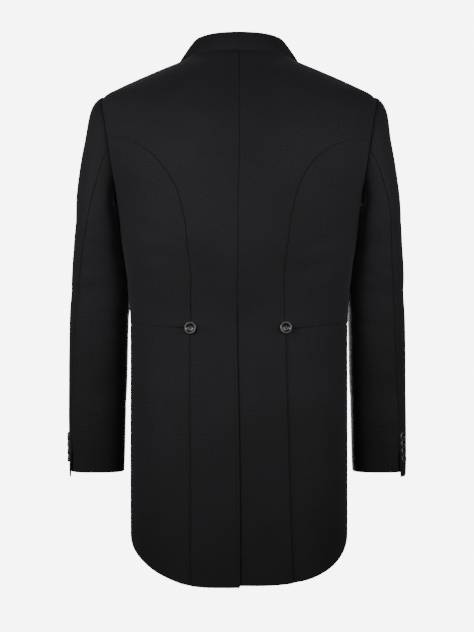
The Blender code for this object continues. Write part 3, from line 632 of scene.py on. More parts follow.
def neck_run(start, end, count):
    """Stretch of the neck edge between two stations of the collar."""
    station = steps(start, end, count)
    places = np.arange(len(COLLAR["neck_angle"]), dtype=float)
    return pair(*(smooth(places, COLLAR[name], station) for name in ("neck_angle", "neck_height")))


def shoulder_run(count):
    """Shoulder seam from the neck to the armhole."""
    neck_height, end_height = COLLAR["neck_height"][SHOULDER_STATION], ARMHOLE["height"][0]
    share = steps(0, 1, count) ** SHOULDER_POWER
    return pair(SHOULDER_ANGLE, neck_height + (end_height - neck_height) * share)


def roll_line(end_height, count):
    """Roll line from the gorge down to a height, in even steps of height."""
    height = steps(COLLAR["neck_height"][-1], end_height, count)
    return pair(angle_at(read(ROLL_LINE, "across", height), height, True), height)


def side_waist(side):
    """Waist seam under the side body, from the pleat line to the underarm seam."""
    angle = steps(side_seam(side)[-1, 0], UNDERARM_ANGLE, SIDE_STEPS)
    return pair(angle, waist_height(angle, side))


def creases(rows, across, height):
    """Sum of long shallow troughs: depth * bell(along) * (bell(beside) - bell of the ridge next to it)."""
    fall = 0.0
    for middle, level, long, wide, tilt, deep in zip(*rows.values()):
        turn = np.radians(tilt)
        lengthwise = (across - middle) * np.cos(turn) + (height - level) * np.sin(turn)
        beside = (height - level) * np.cos(turn) - (across - middle) * np.sin(turn)
        ridge = CREASE_RIDGE * bell(beside - CREASE_RIDGE_OFF * wide, wide)
        fall = fall + deep * bell(lengthwise, long) * (bell(beside, wide) - ridge)
    return fall


def beside_edges(grid):
    """Grid with extra lines beside each edge, each a given distance in towards the next line."""
    for axis in (0, 1):
        lines = np.moveaxis(grid, axis, 0)
        ranks = np.arange(1, len(EDGE_LINES) + 1) / (len(EDGE_LINES) + 1)
        extra = []
        for edge, next_line in ((lines[0], lines[1]), (lines[-1], lines[-2])):
            step = np.linalg.norm((next_line - edge)[:, :3], axis=-1)[None, :, None]
            share = np.minimum(EDGE_LINES[:, None, None] / np.maximum(step, TINY), ranks[:, None, None])
            extra.append(edge + (next_line - edge) * share)
        lines = np.concatenate([lines[:1], extra[0], lines[1:-1], extra[1][::-1], lines[-1:]])
        grid = np.moveaxis(lines, 0, axis)
    return grid


def edge_distance(points):
    """Distance of each grid point from each of the four edges, along the grid's own lines."""
    across = np.cumsum(np.linalg.norm(np.diff(points, axis=1), axis=-1), axis=1)
    across = np.concatenate([np.zeros((len(points), 1)), across], axis=1)
    down = np.cumsum(np.linalg.norm(np.diff(points, axis=0), axis=-1), axis=0)
    down = np.concatenate([np.zeros((1, points.shape[1])), down], axis=0)
    return {"rear": across, "front": across[:, -1:] - across, "top": down, "bottom": down[-1:] - down}


def rolled(distance, radius):
    """Fall of a face towards a rolled edge: the quarter circle r - sqrt(r^2 - (r - d)^2)."""
    inside = np.clip(radius - distance, 0, radius)
    return radius - np.sqrt(radius**2 - inside**2)


def mesh_object(name, points, groups, made_of, layers=None):
    """Object from points in millimetres and groups of like-sided faces, with named layers of numbers."""
    corners = np.concatenate([faces.ravel() for faces in groups])
    sides = np.concatenate([np.full(len(faces), faces.shape[1]) for faces in groups])
    mesh = bpy.data.meshes.new(name)
    mesh.vertices.add(len(points))
    mesh.vertices.foreach_set("co", (points * MM).ravel())
    mesh.loops.add(len(corners))
    mesh.loops.foreach_set("vertex_index", corners)
    mesh.polygons.add(len(sides))
    mesh.polygons.foreach_set("loop_start", np.cumsum(sides) - sides)
    mesh.polygons.foreach_set("use_smooth", np.ones(len(sides), bool))
    for layer, values in (layers or {}).items():
        if values.ndim == 2:
            mesh.uv_layers.new(name=layer).data.foreach_set("uv", values[corners].ravel())
        else:
            mesh.attributes.new(layer, "FLOAT", "POINT").data.foreach_set("value", values)
    mesh.update(calc_edges=True)
    mesh.validate()
    mesh.materials.append(made_of)
    made = bpy.data.objects.new(name, mesh)
    bpy.context.scene.collection.objects.link(made)
    return made


def worn(made):
    """Piece that goes with the coat's one body."""
    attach(made, "root")


def grid_quads(index):
    """Corners of every cell of a grid of point numbers."""
    return np.stack([index[:-1, :-1], index[1:, :-1], index[1:, 1:], index[:-1, 1:]], -1).reshape(-1, 4)


def cloth(name, points, normal, weave, seams, flip=False, under=None):
    """Piece of cloth: an outside and an inside face that meet in a half round along all four edges.

    Outside = form - normal * (roll + press), inside = form - normal * (thickness - roll + press).
    The roll depends on the distance to the nearest edge and the press on that to the nearest seam.
    The weave is where the threads cross: millimetres across and along the piece, kept as its UV map.
    """
    grid = beside_edges(np.concatenate([points, normal, weave], -1))
    points, normal, weave = grid[..., :3], unit(grid[..., 3:6]), grid[..., 6:]
    distance = edge_distance(points)
    roll = rolled(np.min(list(distance.values()), axis=0), CLOTH / 2)
    # Painted shade for the cloth's colour: the under function's dark lines, deepened beside each seam
    # below.
    shade = under(points) if under else np.zeros(points.shape[:2])
    press = np.zeros(points.shape[:2])
    for edge, weight in seams.items():
        weight = weight(points) if callable(weight) else weight
        away, run = distance[edge], distance["top" if edge in ("rear", "front") else "rear"]
        pucker = np.sin(run / PUCKER_WAVE + 2 * np.sin(run / PUCKER_DRIFT)) * bell(away, PUCKER_REACH)
        press += weight * (PRESS_DEPTH * bell(away, PRESS_REACH) + PUCKER_DEPTH * pucker)
        shade = np.maximum(shade, SEAM_SHADE_DEPTH * weight * bell(away, SEAM_SHADE))
    outside = points - normal * (roll + press)[..., None]
    inside = points - normal * (CLOTH - roll + press)[..., None]
    rows, columns = shade.shape
    outer = np.arange(rows * columns).reshape(rows, columns)
    inner = outer.copy()
    inside_count = (rows - 2) * (columns - 2)
    inner[1:-1, 1:-1] = rows * columns + np.arange(inside_count).reshape(rows - 2, columns - 2)
    order = -1 if flip else 1
    quads = np.concatenate([grid_quads(outer)[:, ::order], grid_quads(inner)[:, ::-order]])
    # The 'seam' layer carries this painted shade to the material.
    layers = {"cloth": weave * MM, "seam": shade}
    layers = {key: np.concatenate([value.reshape(rows * columns, *value.shape[2:]),
                                   value[1:-1, 1:-1].reshape(-1, *value.shape[2:])])
              for key, value in layers.items()}
    vertices = np.concatenate([outside.reshape(-1, 3), inside[1:-1, 1:-1].reshape(-1, 3)])
    made = mesh_object(name + "_cloth", vertices, [quads], WOOL, layers)
    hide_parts(name)
    worn(made)
    width, length, left_area, right_area = CUTS[name.removesuffix("_left").removesuffix("_right")]
    area = right_area if name.endswith("_right") else left_area
    area * MM * MM


def body_weave(points, angle):
    """Threads on the body: along = height and the way in over the shoulder, across = turn * radius."""
    reach = np.linalg.norm(points[..., :2], axis=-1)
    widest = np.linalg.norm(body_point(angle, SHOULDER_BEND + 0 * angle)[..., :2], axis=-1)
    over = np.maximum(widest - reach, 0) * (points[..., 2] > SHOULDER_BEND)
    return np.stack([np.radians(angle) * WEAVE_RADIUS, points[..., 2] + over], -1)


def lined_weave(points, row):
    """Threads that run down the grid's own columns, spaced as they are along one of its rows."""
    across = edge_distance(points)["rear"][row]
    return np.stack([across + 0 * points[..., 2], points[..., 2]], -1)


def body_cloth(name, flat, side, sunk=None, seams=None, under=None):
    """Piece on the body form, from a grid of angles and heights, with its creases and laps."""
    angle, height = flat[..., 0] * side, flat[..., 1]
    normal = body_normal(angle, height)
    points = body_point(angle, height)
    behind = ease((points[..., 1] / CREASE_BLEND + 1) / 2)
    fall = (creases(BACK_CREASES, points[..., 0], height) * behind
            + creases(FRONT_CREASES, points[..., 0], height) * (1 - behind))
    if sunk is not None:
        fall = fall + sunk(points)
    points = points - normal * fall[..., None]
    cloth(name + column(side), points, normal, body_weave(points, angle), seams, side > 0, under)


def under_left_front(points):
    """How far the right front sinks where the left front laps over it."""
    near = (points[..., 0] + FRONT_OVERLAP + LAP_RAMP + FRONT_LAP_PAST) / LAP_RAMP
    low = (FRONT_LAP_TOP - points[..., 2]) / FRONT_LAP_FADE
    return LAP_DEPTH * ease(near) * ease(low) * (points[..., 1] < 0)


def under_left_back(points):
    """How far the right back sinks beside and under the vent's left edge."""
    across = centre_line(points[..., 2])
    near = (points[..., 0] - across + VENT_PAST + LAP_RAMP) / LAP_RAMP
    low = (VENT_TOP + VENT_LEAD - points[..., 2]) / VENT_FADE
    return LAP_DEPTH * ease(near) * ease(low)


def shade_by_collar(points):
    """Painted shadow of the collar: a dark line on the back along the edge of the collar's fall."""
    angle = np.abs(np.degrees(np.arctan2(points[..., 0], points[..., 1])))
    edge = smooth(COLLAR["leaf_angle"], COLLAR["leaf_height"], angle)
    return COLLAR_SHADE * bell(points[..., 2] - edge + COLLAR_SHADE_DROP, LAP_SHADE)


def shade_by_rows(points):
    """Painted shade on the left back: a dark line under the collar's edge, and dark lines where rows of
    stitches draw the cloth in.
    """
    across, height = points[..., 0], points[..., 2]
    head = bell(height - VENT_ROW_HEIGHT, ROW_SHADE) * ease((VENT_ROW_TO - across) / ROW_END_FADE)
    head = head * ease((across - VENT_ROW_FROM + 1) / ROW_END_FADE)
    edge = centre_line(height) + VENT_EDGE_ROW
    down = bell(across - edge, ROW_SHADE) * ease((VENT_TOP - height) / ROW_HEAD_FADE)
    rows = (HEAD_ROW_DARK * head + EDGE_ROW_DARK * down) * (points[..., 1] > 0)
    return np.maximum(rows, shade_by_collar(points))


def shade_by_vent(points):
    """Painted shadow on the right back: a dark line under the collar's edge, and one where the vent's left
    edge lies on it.
    """
    across = centre_line(points[..., 2])
    vent = bell(points[..., 0] - across, LAP_SHADE) * ease((VENT_TOP - points[..., 2]) / VENT_SEAM_FADE)
    return np.maximum(vent, shade_by_collar(points))


def sewn_above(level, run):
    """Weight of a seam that is sewn above a level and open below it: 1 that fades to 0 over a run."""
    return lambda points: ease((points[..., 2] - level) / run)


def back_piece(side):
    """Back from neck to hem: centre line, half neck, shoulder, armhole, side seam and pleat line."""
    neck = neck_run(0, SHOULDER_STATION, NECK_STEPS)
    hole = armhole(steps(0, SIDE_SEAM_TURN, HOLE_STEPS))
    top = chain(neck, shoulder_run(SHOULDER_STEPS), hole)
    seam = side_seam(side)
    hem_end = hem_height(pleat(HEM_LEVEL, side), side)
    lower = steps(seam[-1, 1], hem_end, SKIRT_STEPS)
    outer = chain(seam, pair(pleat(lower, side), lower))
    height = chain(steps(top[0, 1], VENT_TOP, SEAM_STEPS),
                   steps(VENT_TOP, hem_height(0, side), SKIRT_STEPS))
    across = centre_line(height) * side
    if side < 0:
        across = across - VENT_UNDERLAP * ease((VENT_TOP - height) / UNDERLAP_RUN)
    centre = pair(angle_at(across, height), height)
    top[0] = centre[0]
    hem_angle = np.linspace(centre[-1, 0], outer[-1, 0], len(top))
    hem = pair(hem_angle, hem_height(np.abs(hem_angle), side))
    centre[-1], outer[-1] = hem[0], hem[-1]
    flat = patch(top, hem, centre, outer, SHOULDER_FADE)
    seams = {"top": 1.0, "rear": sewn_above(VENT_TOP, VENT_SEAM_FADE),
             "front": sewn_above(VENT_TOP, PLEAT_SEAM_FADE)}
    # The right back sinks under the vent's edge; the backs' under functions give their painted shadow
    # lines.
    sunk, under = (under_left_back, shade_by_vent) if side < 0 else (None, shade_by_rows)
    body_cloth("back_", flat, side, sunk, seams, under)


def side_piece(side):
    """Panel between the side body seam and the underarm seam, down to the waist."""
    rear = side_seam(side)
    top = armhole(steps(SIDE_SEAM_TURN, UNDERARM_TURN, SIDE_STEPS))
    bottom = side_waist(side)
    front = np.linspace(top[-1], bottom[-1], len(rear))
    rear[-1] = bottom[0]
    seams = {"top": 1.0, "bottom": 1.0, "rear": 1.0, "front": 1.0}
    body_cloth("side_body_", patch(top, bottom, rear, front, SIDE_FADE), side, None, seams)


def fore_piece(side):
    """Front from the shoulder to the waist: armhole, underarm seam, neck edge and roll line."""
    top = shoulder_run(FOREPART_STEPS)[::-1]
    hole = armhole(chain(steps(360, FORE_SEAM_TURN, FRONT_HOLE_STEPS),
                         steps(FORE_SEAM_TURN, UNDERARM_TURN, UNDERARM_STEPS)))
    underarm_end = (UNDERARM_ANGLE, waist_height(UNDERARM_ANGLE, side))
    neck = neck_run(SHOULDER_STATION, SHOULDER_STATION + FRONT_NECK_STEPS, FRONT_NECK_STEPS)
    roll = roll_line(ROLL_LINE["height"][0], ROLL_STEPS)
    corner = (FRONT_CORNER_ANGLE, waist_height(FRONT_CORNER_ANGLE, side))
    inner = chain(neck, roll, steps(roll[-1], corner, CORNER_STEPS))
    outer = chain(hole, np.linspace(hole[-1], underarm_end, len(inner) - len(hole) + 1))
    bottom_angle = np.linspace(UNDERARM_ANGLE, FRONT_CORNER_ANGLE, len(top))
    bottom = pair(bottom_angle, waist_height(bottom_angle, side))
    sunk = under_left_front if side < 0 else None
    seams = {"top": 1.0, "bottom": 1.0, "rear": 1.0}
    body_cloth("forepart_", patch(top, bottom, outer, inner), side, sunk, seams)


def skirt_piece(side):
    """Skirt from the waist seam to the cutaway hem, its rear edge folded under the back."""
    start = pleat(VENT_TOP, side, PLEAT_UNDERLAP)
    waist = side_waist(side)
    under = steps((float(start), float(waist_height(start, side))), waist[0], PLEAT_STEPS)
    fore_angle = steps(UNDERARM_ANGLE, FRONT_CORNER_ANGLE, FORE_SKIRT_STEPS)
    top = chain(under, waist, pair(fore_angle, waist_height(fore_angle, side)))
    hem_start = pleat(HEM_LEVEL, side, PLEAT_UNDERLAP)
    hem_angle = np.linspace(hem_start, SKIRT_CORNER_ANGLE, len(top))
    hem = pair(hem_angle, hem_height(hem_angle, side))
    rear_height = steps(top[0, 1], hem[0, 1], SKIRT_STEPS)
    rear = pair(pleat(rear_height, side, PLEAT_UNDERLAP), rear_height)
    front_angle = np.linspace(FRONT_CORNER_ANGLE, SKIRT_CORNER_ANGLE, len(rear))
    front = pair(front_angle, hem_height(front_angle, side))
    front[0], front[-1], rear[0], rear[-1] = top[-1], hem[-1], top[0], hem[0]

    def past_pleat(points):
        """How far a point lies outside the pleat line."""
        return np.abs(points[..., 0]) - read(PLEAT, column(side), points[..., 2])

    def sunk(points):
        """How far the skirt sinks under the back's edge, and the right one under the left front."""
        near = 1 - (past_pleat(points) - PLEAT_PAST) / LAP_RAMP
        rear_lap = LAP_DEPTH * ease(near) * (points[..., 1] > 0)
        return rear_lap + (under_left_front(points) if side < 0 else 0)

    def shade_by_pleat(points):
        """Painted shadow on the skirt along the back's edge that lies over it."""
        return PLEAT_SHADE * bell(past_pleat(points), LAP_SHADE) * (points[..., 1] > 0)

    body_cloth("skirt_", patch(top, hem, rear, front), side, sunk, {"top": 1.0}, shade_by_pleat)


def sleeve_ring(hole_turn, height, side):
    """Outside of the sleeve at a height: a squared ellipse with soft folds, its seams where they show.

    Across = half * cos(t)^(2/p) and along = depth * sin(t)^(2/p), with the signs of cos(t) and sin(t).
    """
    outer, inner = (read(SLEEVE, column(side, edge), height) for edge in ("_outer", "_inner"))
    middle, half = (outer + inner) / 2, (outer - inner) / 2
    share = np.clip((read(HIND_SEAM, column(side), height) - middle) / half, -1, 1)
    hind = np.degrees(np.arccos(np.sign(share) * np.abs(share) ** (SLEEVE_SQUARENESS / 2)))
    under_share = (hole_turn - HIND_SEAM_TURN) / (FORE_SEAM_TURN - HIND_SEAM_TURN)
    past = np.where(hole_turn < HIND_SEAM_TURN, hole_turn + 360, hole_turn) - FORE_SEAM_TURN
    top_share = past / (360 + HIND_SEAM_TURN - FORE_SEAM_TURN)
    turn = np.where(past < 0, hind + under_share * (FORE_SEAM_RING_TURN - hind),
                    FORE_SEAM_RING_TURN + top_share * (hind + 360 - FORE_SEAM_RING_TURN)) % 360
    fold = 0.0
    for level, place, high, wide, deep in zip(*SLEEVE_FOLDS.values()):
        fold = fold + deep * bell(height - level, high) * bell(turn - place, wide)
    for level, place, wide, high, tilt, deep in zip(*SLEEVE_CREASES.values()):
        level = level + (RIGHT_CREASE_RISE if side < 0 else 0)
        slant = np.tan(np.radians(tilt)) * (turn - place) * CREASE_SLANT
        fold = fold + deep * bell(height - level - slant, high) * bell(turn - place, wide)
    cosine, sine = np.cos(np.radians(turn)), np.sin(np.radians(turn))
    cosine = np.sign(cosine) * np.abs(cosine) ** (2 / SLEEVE_SQUARENESS)
    sine = np.sign(sine) * np.abs(sine) ** (2 / SLEEVE_SQUARENESS)
    across = middle + (half - fold) * cosine
    deep = read(SLEEVE, "depth", height) + (read(SLEEVE, "half_depth", height) - fold) * sine
    return np.stack([across * side, deep, height + 0 * across], -1)


def clear_of_body(points, distance):
    """Points nearer the body form than this distance, moved straight out from its middle."""
    angle = np.degrees(np.arctan2(points[..., 0], points[..., 1]))
    form = body_point(angle, points[..., 2])
    radial = unit(points * np.array([1, 1, 0]))
    slope = np.maximum(np.sum(body_normal(angle, points[..., 2]) * radial, -1), LEAST_SLOPE)
    needed = np.linalg.norm(form[..., :2], axis=-1) + distance / slope
    reach = np.linalg.norm(points[..., :2], axis=-1)
    return points + radial * np.maximum(needed - reach, 0)[..., None]


def sleeve_form(side, turns):
    """Whole sleeve as a closed grid: cap curves from the armhole, then rings down to the cuff."""
    place = armhole(turns)
    start = body_point(place[:, 0] * side, place[:, 1])
    end = sleeve_ring(turns, SLEEVE_RING_TOP, side)
    pull = np.stack([read(SLEEVE_START, name, turns) for name in ("out", "back", "up")], -1)
    pull = pull * np.array([side, 1, 1])
    down = (end - sleeve_ring(turns, SLEEVE_RING_TOP + CAP_PROBE, side)) / CAP_PROBE
    arrive = down * (start[:, 2:] - end[:, 2:]) * CAP_ARRIVAL
    share = steps(0, 1, CAP_STEPS) ** CAP_SPACING
    cap = hermite(start, end, pull, arrive, share[:, None, None])
    height = steps(SLEEVE_RING_TOP, CUFF_HEIGHT, ARM_STEPS)[1:, None]
    grid = np.concatenate([cap, sleeve_ring(turns[None], height, side)])
    fit = read(OUTER_FIT, column(side), grid[..., 2])
    grid[..., 0] += fit * ease((np.abs(grid[..., 0]) - OUTER_FIT_FROM) / OUTER_FIT_FADE) * side
    away = np.linalg.norm(grid - grid[:1], axis=-1)
    grid = clear_of_body(grid, SLEEVE_CLEARANCE * ease(away / CLEARANCE_RUN))
    round_step = np.roll(grid[:, :-1], -1, axis=1) - np.roll(grid[:, :-1], 1, axis=1)
    round_step = np.concatenate([round_step, round_step[:, :1]], axis=1)
    normal = unit(np.cross(np.gradient(grid, axis=0), round_step)) * side
    return grid, normal


def sleeve_pieces(side):
    """Top sleeve and under sleeve; the top sleeve's edge curls out along the cuff vent."""
    turns = chain(steps(0, HIND_SEAM_TURN, TOP_HIND_STEPS),
                  steps(HIND_SEAM_TURN, FORE_SEAM_TURN, UNDER_STEPS),
                  steps(FORE_SEAM_TURN, 360, TOP_FORE_STEPS))
    grid, normal = sleeve_form(side, turns)
    hind, fore = TOP_HIND_STEPS * FINE, (TOP_HIND_STEPS + UNDER_STEPS) * FINE
    top = np.concatenate([grid[:, fore:], grid[:, 1:hind + 1]], axis=1)
    top_normal = np.concatenate([normal[:, fore:], normal[:, 1:hind + 1]], axis=1)
    under, under_normal = grid[:, hind:fore + 1].copy(), normal[:, hind:fore + 1]

    def opened(points, edge):
        """How far a lip of the vent has opened: (1 - distance / curl)^2, more towards the cuff."""
        low = ease((CUFF_VENT_TOP - points[..., 2]) / (CUFF_VENT_TOP - CUFF_HEIGHT))
        return low * np.clip(1 - edge_distance(points)[edge] / VENT_CURL, 0, 1) ** 2

    distance = edge_distance(top)
    tip = ease(VENT_TIP_PEAK * (1 - distance["front"] / VENT_TIP_WIDTH))
    tip = tip * ease(1 - distance["bottom"] / VENT_TIP_REACH)
    top = top + top_normal * opened(top, "front")[..., None] * VENT_LIFT
    reach = opened(top, "front")[..., None] * VENT_REACH[column(side)]
    top = top + unit(top[:, -1:] - top[:, -2:-1]) * reach - np.array([0, 0, VENT_TIP]) * tip[..., None]
    lap = opened(under, "rear")[..., None]
    under = under - under_normal * lap * VENT_SINK + unit(under[:, :1] - under[:, 1:2]) * lap * VENT_LAP
    above_vent = sewn_above(CUFF_VENT_TOP - VENT_LET_GO, VENT_LET_GO_RUN)
    for name, piece, out, open_edge, sewn_edge in (
            ("top_sleeve_", top, top_normal, "front", "rear"),
            ("under_sleeve_", under, under_normal, "rear", "front")):
        seams = {"top": 1.0, sewn_edge: 1.0, open_edge: above_vent}
        cloth(name + column(side), piece, out, lined_weave(piece, ARM_STEPS * FINE), seams, side < 0)


def armhole_tape(side):
    """Tape inside the armhole seam, standing for its seam allowance: a tube a little under the seam line,
    all the way round, coloured darker than the wool as painted shade.
    """
    place = armhole(np.linspace(0, 360, HOLE_POINTS))
    angle = place[:, 0] * side
    path = body_point(angle, place[:, 1]) - body_normal(angle, place[:, 1]) * TAPE_DEPTH
    worn(mesh_object("armhole_tape_" + column(side), *tube(path, TAPE_RADIUS, 8), SLIT))


def collar_piece():
    """Collar: stand up from the neck edge, over the roll, and the fall down outside, as two cubics."""
    last = len(COLLAR["neck_angle"]) - 1
    station = steps(-last, last, COLLAR_STEPS)
    side = np.where(station < 0, -1, 1)
    places = np.arange(last + 1, dtype=float)
    both = np.concatenate([-places[:0:-1], places])
    size = {}
    for name, values in COLLAR.items():
        sign = -1 if name in COLLAR_ODD else 1
        size[name] = smooth(both, np.concatenate([sign * values[:0:-1], values]), station)
        if name in COLLAR_ODD:
            size[name] = np.abs(size[name])
    neck_out = body_normal(size["neck_angle"] * side, size["neck_height"])
    neck = body_point(size["neck_angle"] * side, size["neck_height"]) - neck_out * CLOTH
    roll = np.stack([size["roll_across"] * side, size["roll_depth"], size["roll_height"]], -1)
    leaf_out = body_normal(size["leaf_angle"] * side, size["leaf_height"])
    clear = CLOTH + size["lift"]
    leaf = body_point(size["leaf_angle"] * side, size["leaf_height"]) + leaf_out * clear[:, None]
    outward = unit((leaf - roll) * np.array([1, 1, ROLL_SLOPE]))
    width = np.linalg.norm(leaf - roll, axis=-1, keepdims=True)
    stand = np.linalg.norm(roll - neck, axis=-1, keepdims=True)
    over = outward * np.minimum(width * ROLL_PULL_FALL, stand * ROLL_PULL_STAND)
    stand_pull = unit(roll - neck - over * STAND_BEND) * stand
    leaf_pull = unit(leaf - roll - over * LEAF_BEND) * width * LEAF_PULL
    stand_share = steps(0, 1, STAND_STEPS)[:-1, None, None]
    fall_share = steps(0, 1, FALL_STEPS)[:, None, None]
    grid = np.concatenate([hermite(neck, roll, stand_pull, over, stand_share),
                           hermite(roll, leaf, over, leaf_pull, fall_share)])
    row = np.arange(len(grid))[:, None, None] / FINE
    low = grid[FALL_REST * FINE:]
    off = ease((row[FALL_REST * FINE:] - FALL_REST) / FALL_SETTLE)
    grid[FALL_REST * FINE:] = low + (clear_of_body(low, clear) - low) * off
    normal = unit(np.cross(np.gradient(grid, axis=1), np.gradient(grid, axis=0)))
    hold = ease(row / NECK_HOLD)
    normal = unit(-neck_out * (1 - hold) + normal * hold)
    weave = np.stack([lined_weave(grid, STAND_STEPS * FINE)[..., 0], edge_distance(grid)["top"]], -1)
    # The leaf edge is weighted like a seam: pressed in, with a painted shade line along it.
    cloth("collar", grid, normal, weave, {"top": 1.0, "bottom": 0.8}, True)


def lapel_piece(side):
    """Peak lapel: the forepart's face beyond the roll line, folded back and lying over it."""
    share = chain(np.linspace(0, LAPEL_ROLL_SHARE, LAPEL_ROLL_ROWS),
                  np.linspace(LAPEL_ROLL_SHARE, 1, LAPEL_STEPS * FINE))
    roll = roll_line(LAPEL_END[column(side)], ROLL_STEPS)
    rows = np.linspace(0, 1, len(roll))
    places = np.linspace(0, 1, len(LAPEL_EDGE["left_height"]))
    edge_height = smooth(places, LAPEL_EDGE[column(side, "_height")], rows)
    edge_across = smooth(places, LAPEL_EDGE[column(side, "_across")], rows)
    edge = pair(angle_at(edge_across, edge_height, True), edge_height)
    gorge = roll[0] + (roll[1] - roll[0]) * GORGE_GAP / (roll[0, 1] - roll[1, 1])
    notch_angle = angle_at(LAPEL_NOTCH[0], LAPEL_NOTCH[1], True)
    top = pair(np.interp(share, (0, NOTCH_SHARE, 1), (gorge[0], notch_angle, edge[0, 0])),
               np.interp(share, (0, NOTCH_SHARE, 1), (gorge[1], LAPEL_NOTCH[1], edge[0, 1])))
    roll[0], edge[0] = top[0], top[-1]
    flat = (1 - share[None, :, None]) * roll[:, None] + share[None, :, None] * edge[:, None]
    bend = top - ((1 - share[:, None]) * top[0] + share[:, None] * top[-1])
    flat += bend[None] * np.clip(1 - rows / LAPEL_FADE, 0, 1)[:, None, None]
    angle, height = flat[..., 0] * side, flat[..., 1]
    out = body_normal(angle, height)
    fold = body_point(angle[:, :1], height[:, :1])
    towards = unit(np.cross(np.gradient(fold, axis=0), out)) * side
    width = np.linalg.norm(body_point(angle[:, -1:], height[:, -1:]) - fold, axis=-1)
    narrow = np.clip(width / LAPEL_FULL_WIDTH, LAPEL_THINNEST, 1)[..., None]
    past, lift = (read(LAPEL_SECTION, name, share)[None, :, None] for name in ("past", "lift"))
    lift = LAPEL_REST + (lift - LAPEL_REST) * narrow
    grid = body_point(angle, height) + out * lift + towards * past
    normal = unit(np.cross(np.gradient(grid, axis=1), np.gradient(grid, axis=0)))
    normal *= np.sign(np.sum(normal[:, -1] * out[:, -1], -1).mean())
    distance = edge_distance(grid)
    weave = np.stack([distance["rear"], distance["top"]], -1)
    cloth("lapel_" + column(side), grid, normal, weave, {}, side < 0)


def tube(path, radius, sides):
    """Closed-ended tube: circles carried along a path on frames turned from the path and one guide."""
    along = unit(np.gradient(path, axis=0))
    guide = np.array([0.31, 0.52, 0.79])
    first = unit(np.cross(along, guide))
    second = np.cross(along, first)
    turn = np.linspace(0, 2 * np.pi, sides + 1)[:-1]
    ring = first[:, None] * np.cos(turn)[:, None] + second[:, None] * np.sin(turn)[:, None]
    points = path[:, None] + ring * radius
    index = np.arange(len(path) * sides).reshape(len(path), sides)
    wall = grid_quads(np.concatenate([index, index[:, :1]], axis=1))
    return points.reshape(-1, 3), [wall[:, ::-1], index[:1, ::-1], index[-1:]]


def joined(parts):
    """Points and faces of several shapes as one."""
    points = np.concatenate([part[0] for part in parts])
    start = np.cumsum([0] + [len(part[0]) for part in parts])
    groups = [faces + first for part, first in zip(parts, start) for faces in part[1]]
    return points, groups


def turned_face(profile, holes):
    """Turned button: profile turned round the axis, its face pierced by four pits.

    Height = profile - depth * ease((radius of hole - distance) / wall + 1) over the face.
    """
    places = np.arange(len(profile["radius"]), dtype=float)
    at = np.concatenate([np.linspace(0, 1, FACE_ROWS)[1:], np.linspace(1, places[-1], RIM_ROWS)[1:]])
    radius, height = smooth(places, profile["radius"], at), smooth(places, profile["height"], at)
    turn = np.linspace(0, 2 * np.pi, BUTTON_SIDES + 1)[:-1]
    across, up = radius[:, None] * np.cos(turn), radius[:, None] * np.sin(turn)
    spread = HOLE_SPREAD * holes
    away = np.hypot(np.abs(across) - spread, np.abs(up) - spread)
    face = np.arange(len(at))[:, None] < PIERCED_ROWS
    pit = HOLE_DEPTH * ease((HOLE_RADIUS * holes - away) / HOLE_WALL + 1) * face
    grid = np.stack([across, up, height[:, None] - pit], -1)
    middle = np.array([[0, 0, profile["height"][0]], [0, 0, profile["height"][-1]]])
    index = np.arange(grid[..., 0].size).reshape(grid.shape[:2])
    closed = np.concatenate([index, index[:, :1]], axis=1)
    count = grid[..., 0].size
    first, last = closed[0], closed[-1]
    front = np.stack([np.full(BUTTON_SIDES, count), first[:-1], first[1:]], -1)
    rear = np.stack([np.full(BUTTON_SIDES, count + 1), last[1:], last[:-1]], -1)
    return np.concatenate([grid.reshape(-1, 3), middle]), [grid_quads(closed), front, rear]


def button_thread(holes, face, drop):
    """Two bars of three strands over the dish, and the wound shank under the button."""
    spread = HOLE_SPREAD * holes
    share = np.linspace(-1, 1, 11)
    strands = []
    for bar in (-1, 1):
        for lane in (-1, 0, 1):
            rise = face + STRAND_RISE - STRAND_DROP * abs(lane) - STRAND_DIP * np.abs(share) ** 5
            path = np.stack([share * spread, bar * spread + lane * STRAND_GAP + 0 * share, rise], -1)
            strands.append(tube(path, STRAND_RADIUS, 6))
    turn = np.linspace(0, 2 * np.pi * SHANK_TURNS, 61)
    reach = WINDING_REACH * holes
    wound = np.stack([np.cos(turn) * reach, np.sin(turn) * reach, np.linspace(drop, -0.5, len(turn))], -1)
    strands.append(tube(wound, WINDING_RADIUS, 6))
    core = np.array([[0, 0, drop], [0, 0, drop / 2], [0, 0, -1.0]])
    return joined(strands + [tube(core, SHANK_RADIUS * holes, 12)])


def place_on(shape, seat, axis, spin):
    """Shape turned from +Z to an axis, spun about it, and set on its seat."""
    guide = np.array([0.0, 0.0, 1.0])
    first = unit(np.cross(guide, axis))
    second = np.cross(axis, first)
    spun = first * np.cos(spin) + second * np.sin(spin)
    points, groups = shape
    return points @ np.stack([spun, np.cross(axis, spun), axis]) + seat, groups


def sewn_button(name, profile, holes, seat, axis, spin):
    """Horn button with its holes, and the thread that holds it, in place of its solid."""
    points, groups = turned_face(profile, holes)
    widest = profile["radius"].max()
    # Painted highlight: the raised rim is coloured lighter, for the bright ring a glossy rim shows.
    rim = ease((np.hypot(points[:, 0], points[:, 1]) / widest - RIM_FROM) / RIM_RUN)
    shape = place_on((points, groups), seat, axis, spin)
    button = mesh_object(name + "_horn", *shape, HORN, {"rim": rim})
    thread = place_on(button_thread(holes, profile["height"][1], profile["height"][-2]), seat, axis, spin)
    sewn = mesh_object(name + "_thread", *thread, THREAD)
    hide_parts(name)
    worn(button)
    worn(sewn)


def body_buttons():
    """Two waist buttons at the tops of the side pleats and the one that fastens the front."""
    for name, across, height, front, spin in BODY_BUTTONS:
        angle = angle_at(across, height, front)
        axis = body_normal(angle, height)
        seat = body_point(angle, height) + axis * BUTTON_SEAT
        sewn_button(name, WAIST_BUTTON, 1.0, seat, axis, np.radians(spin))


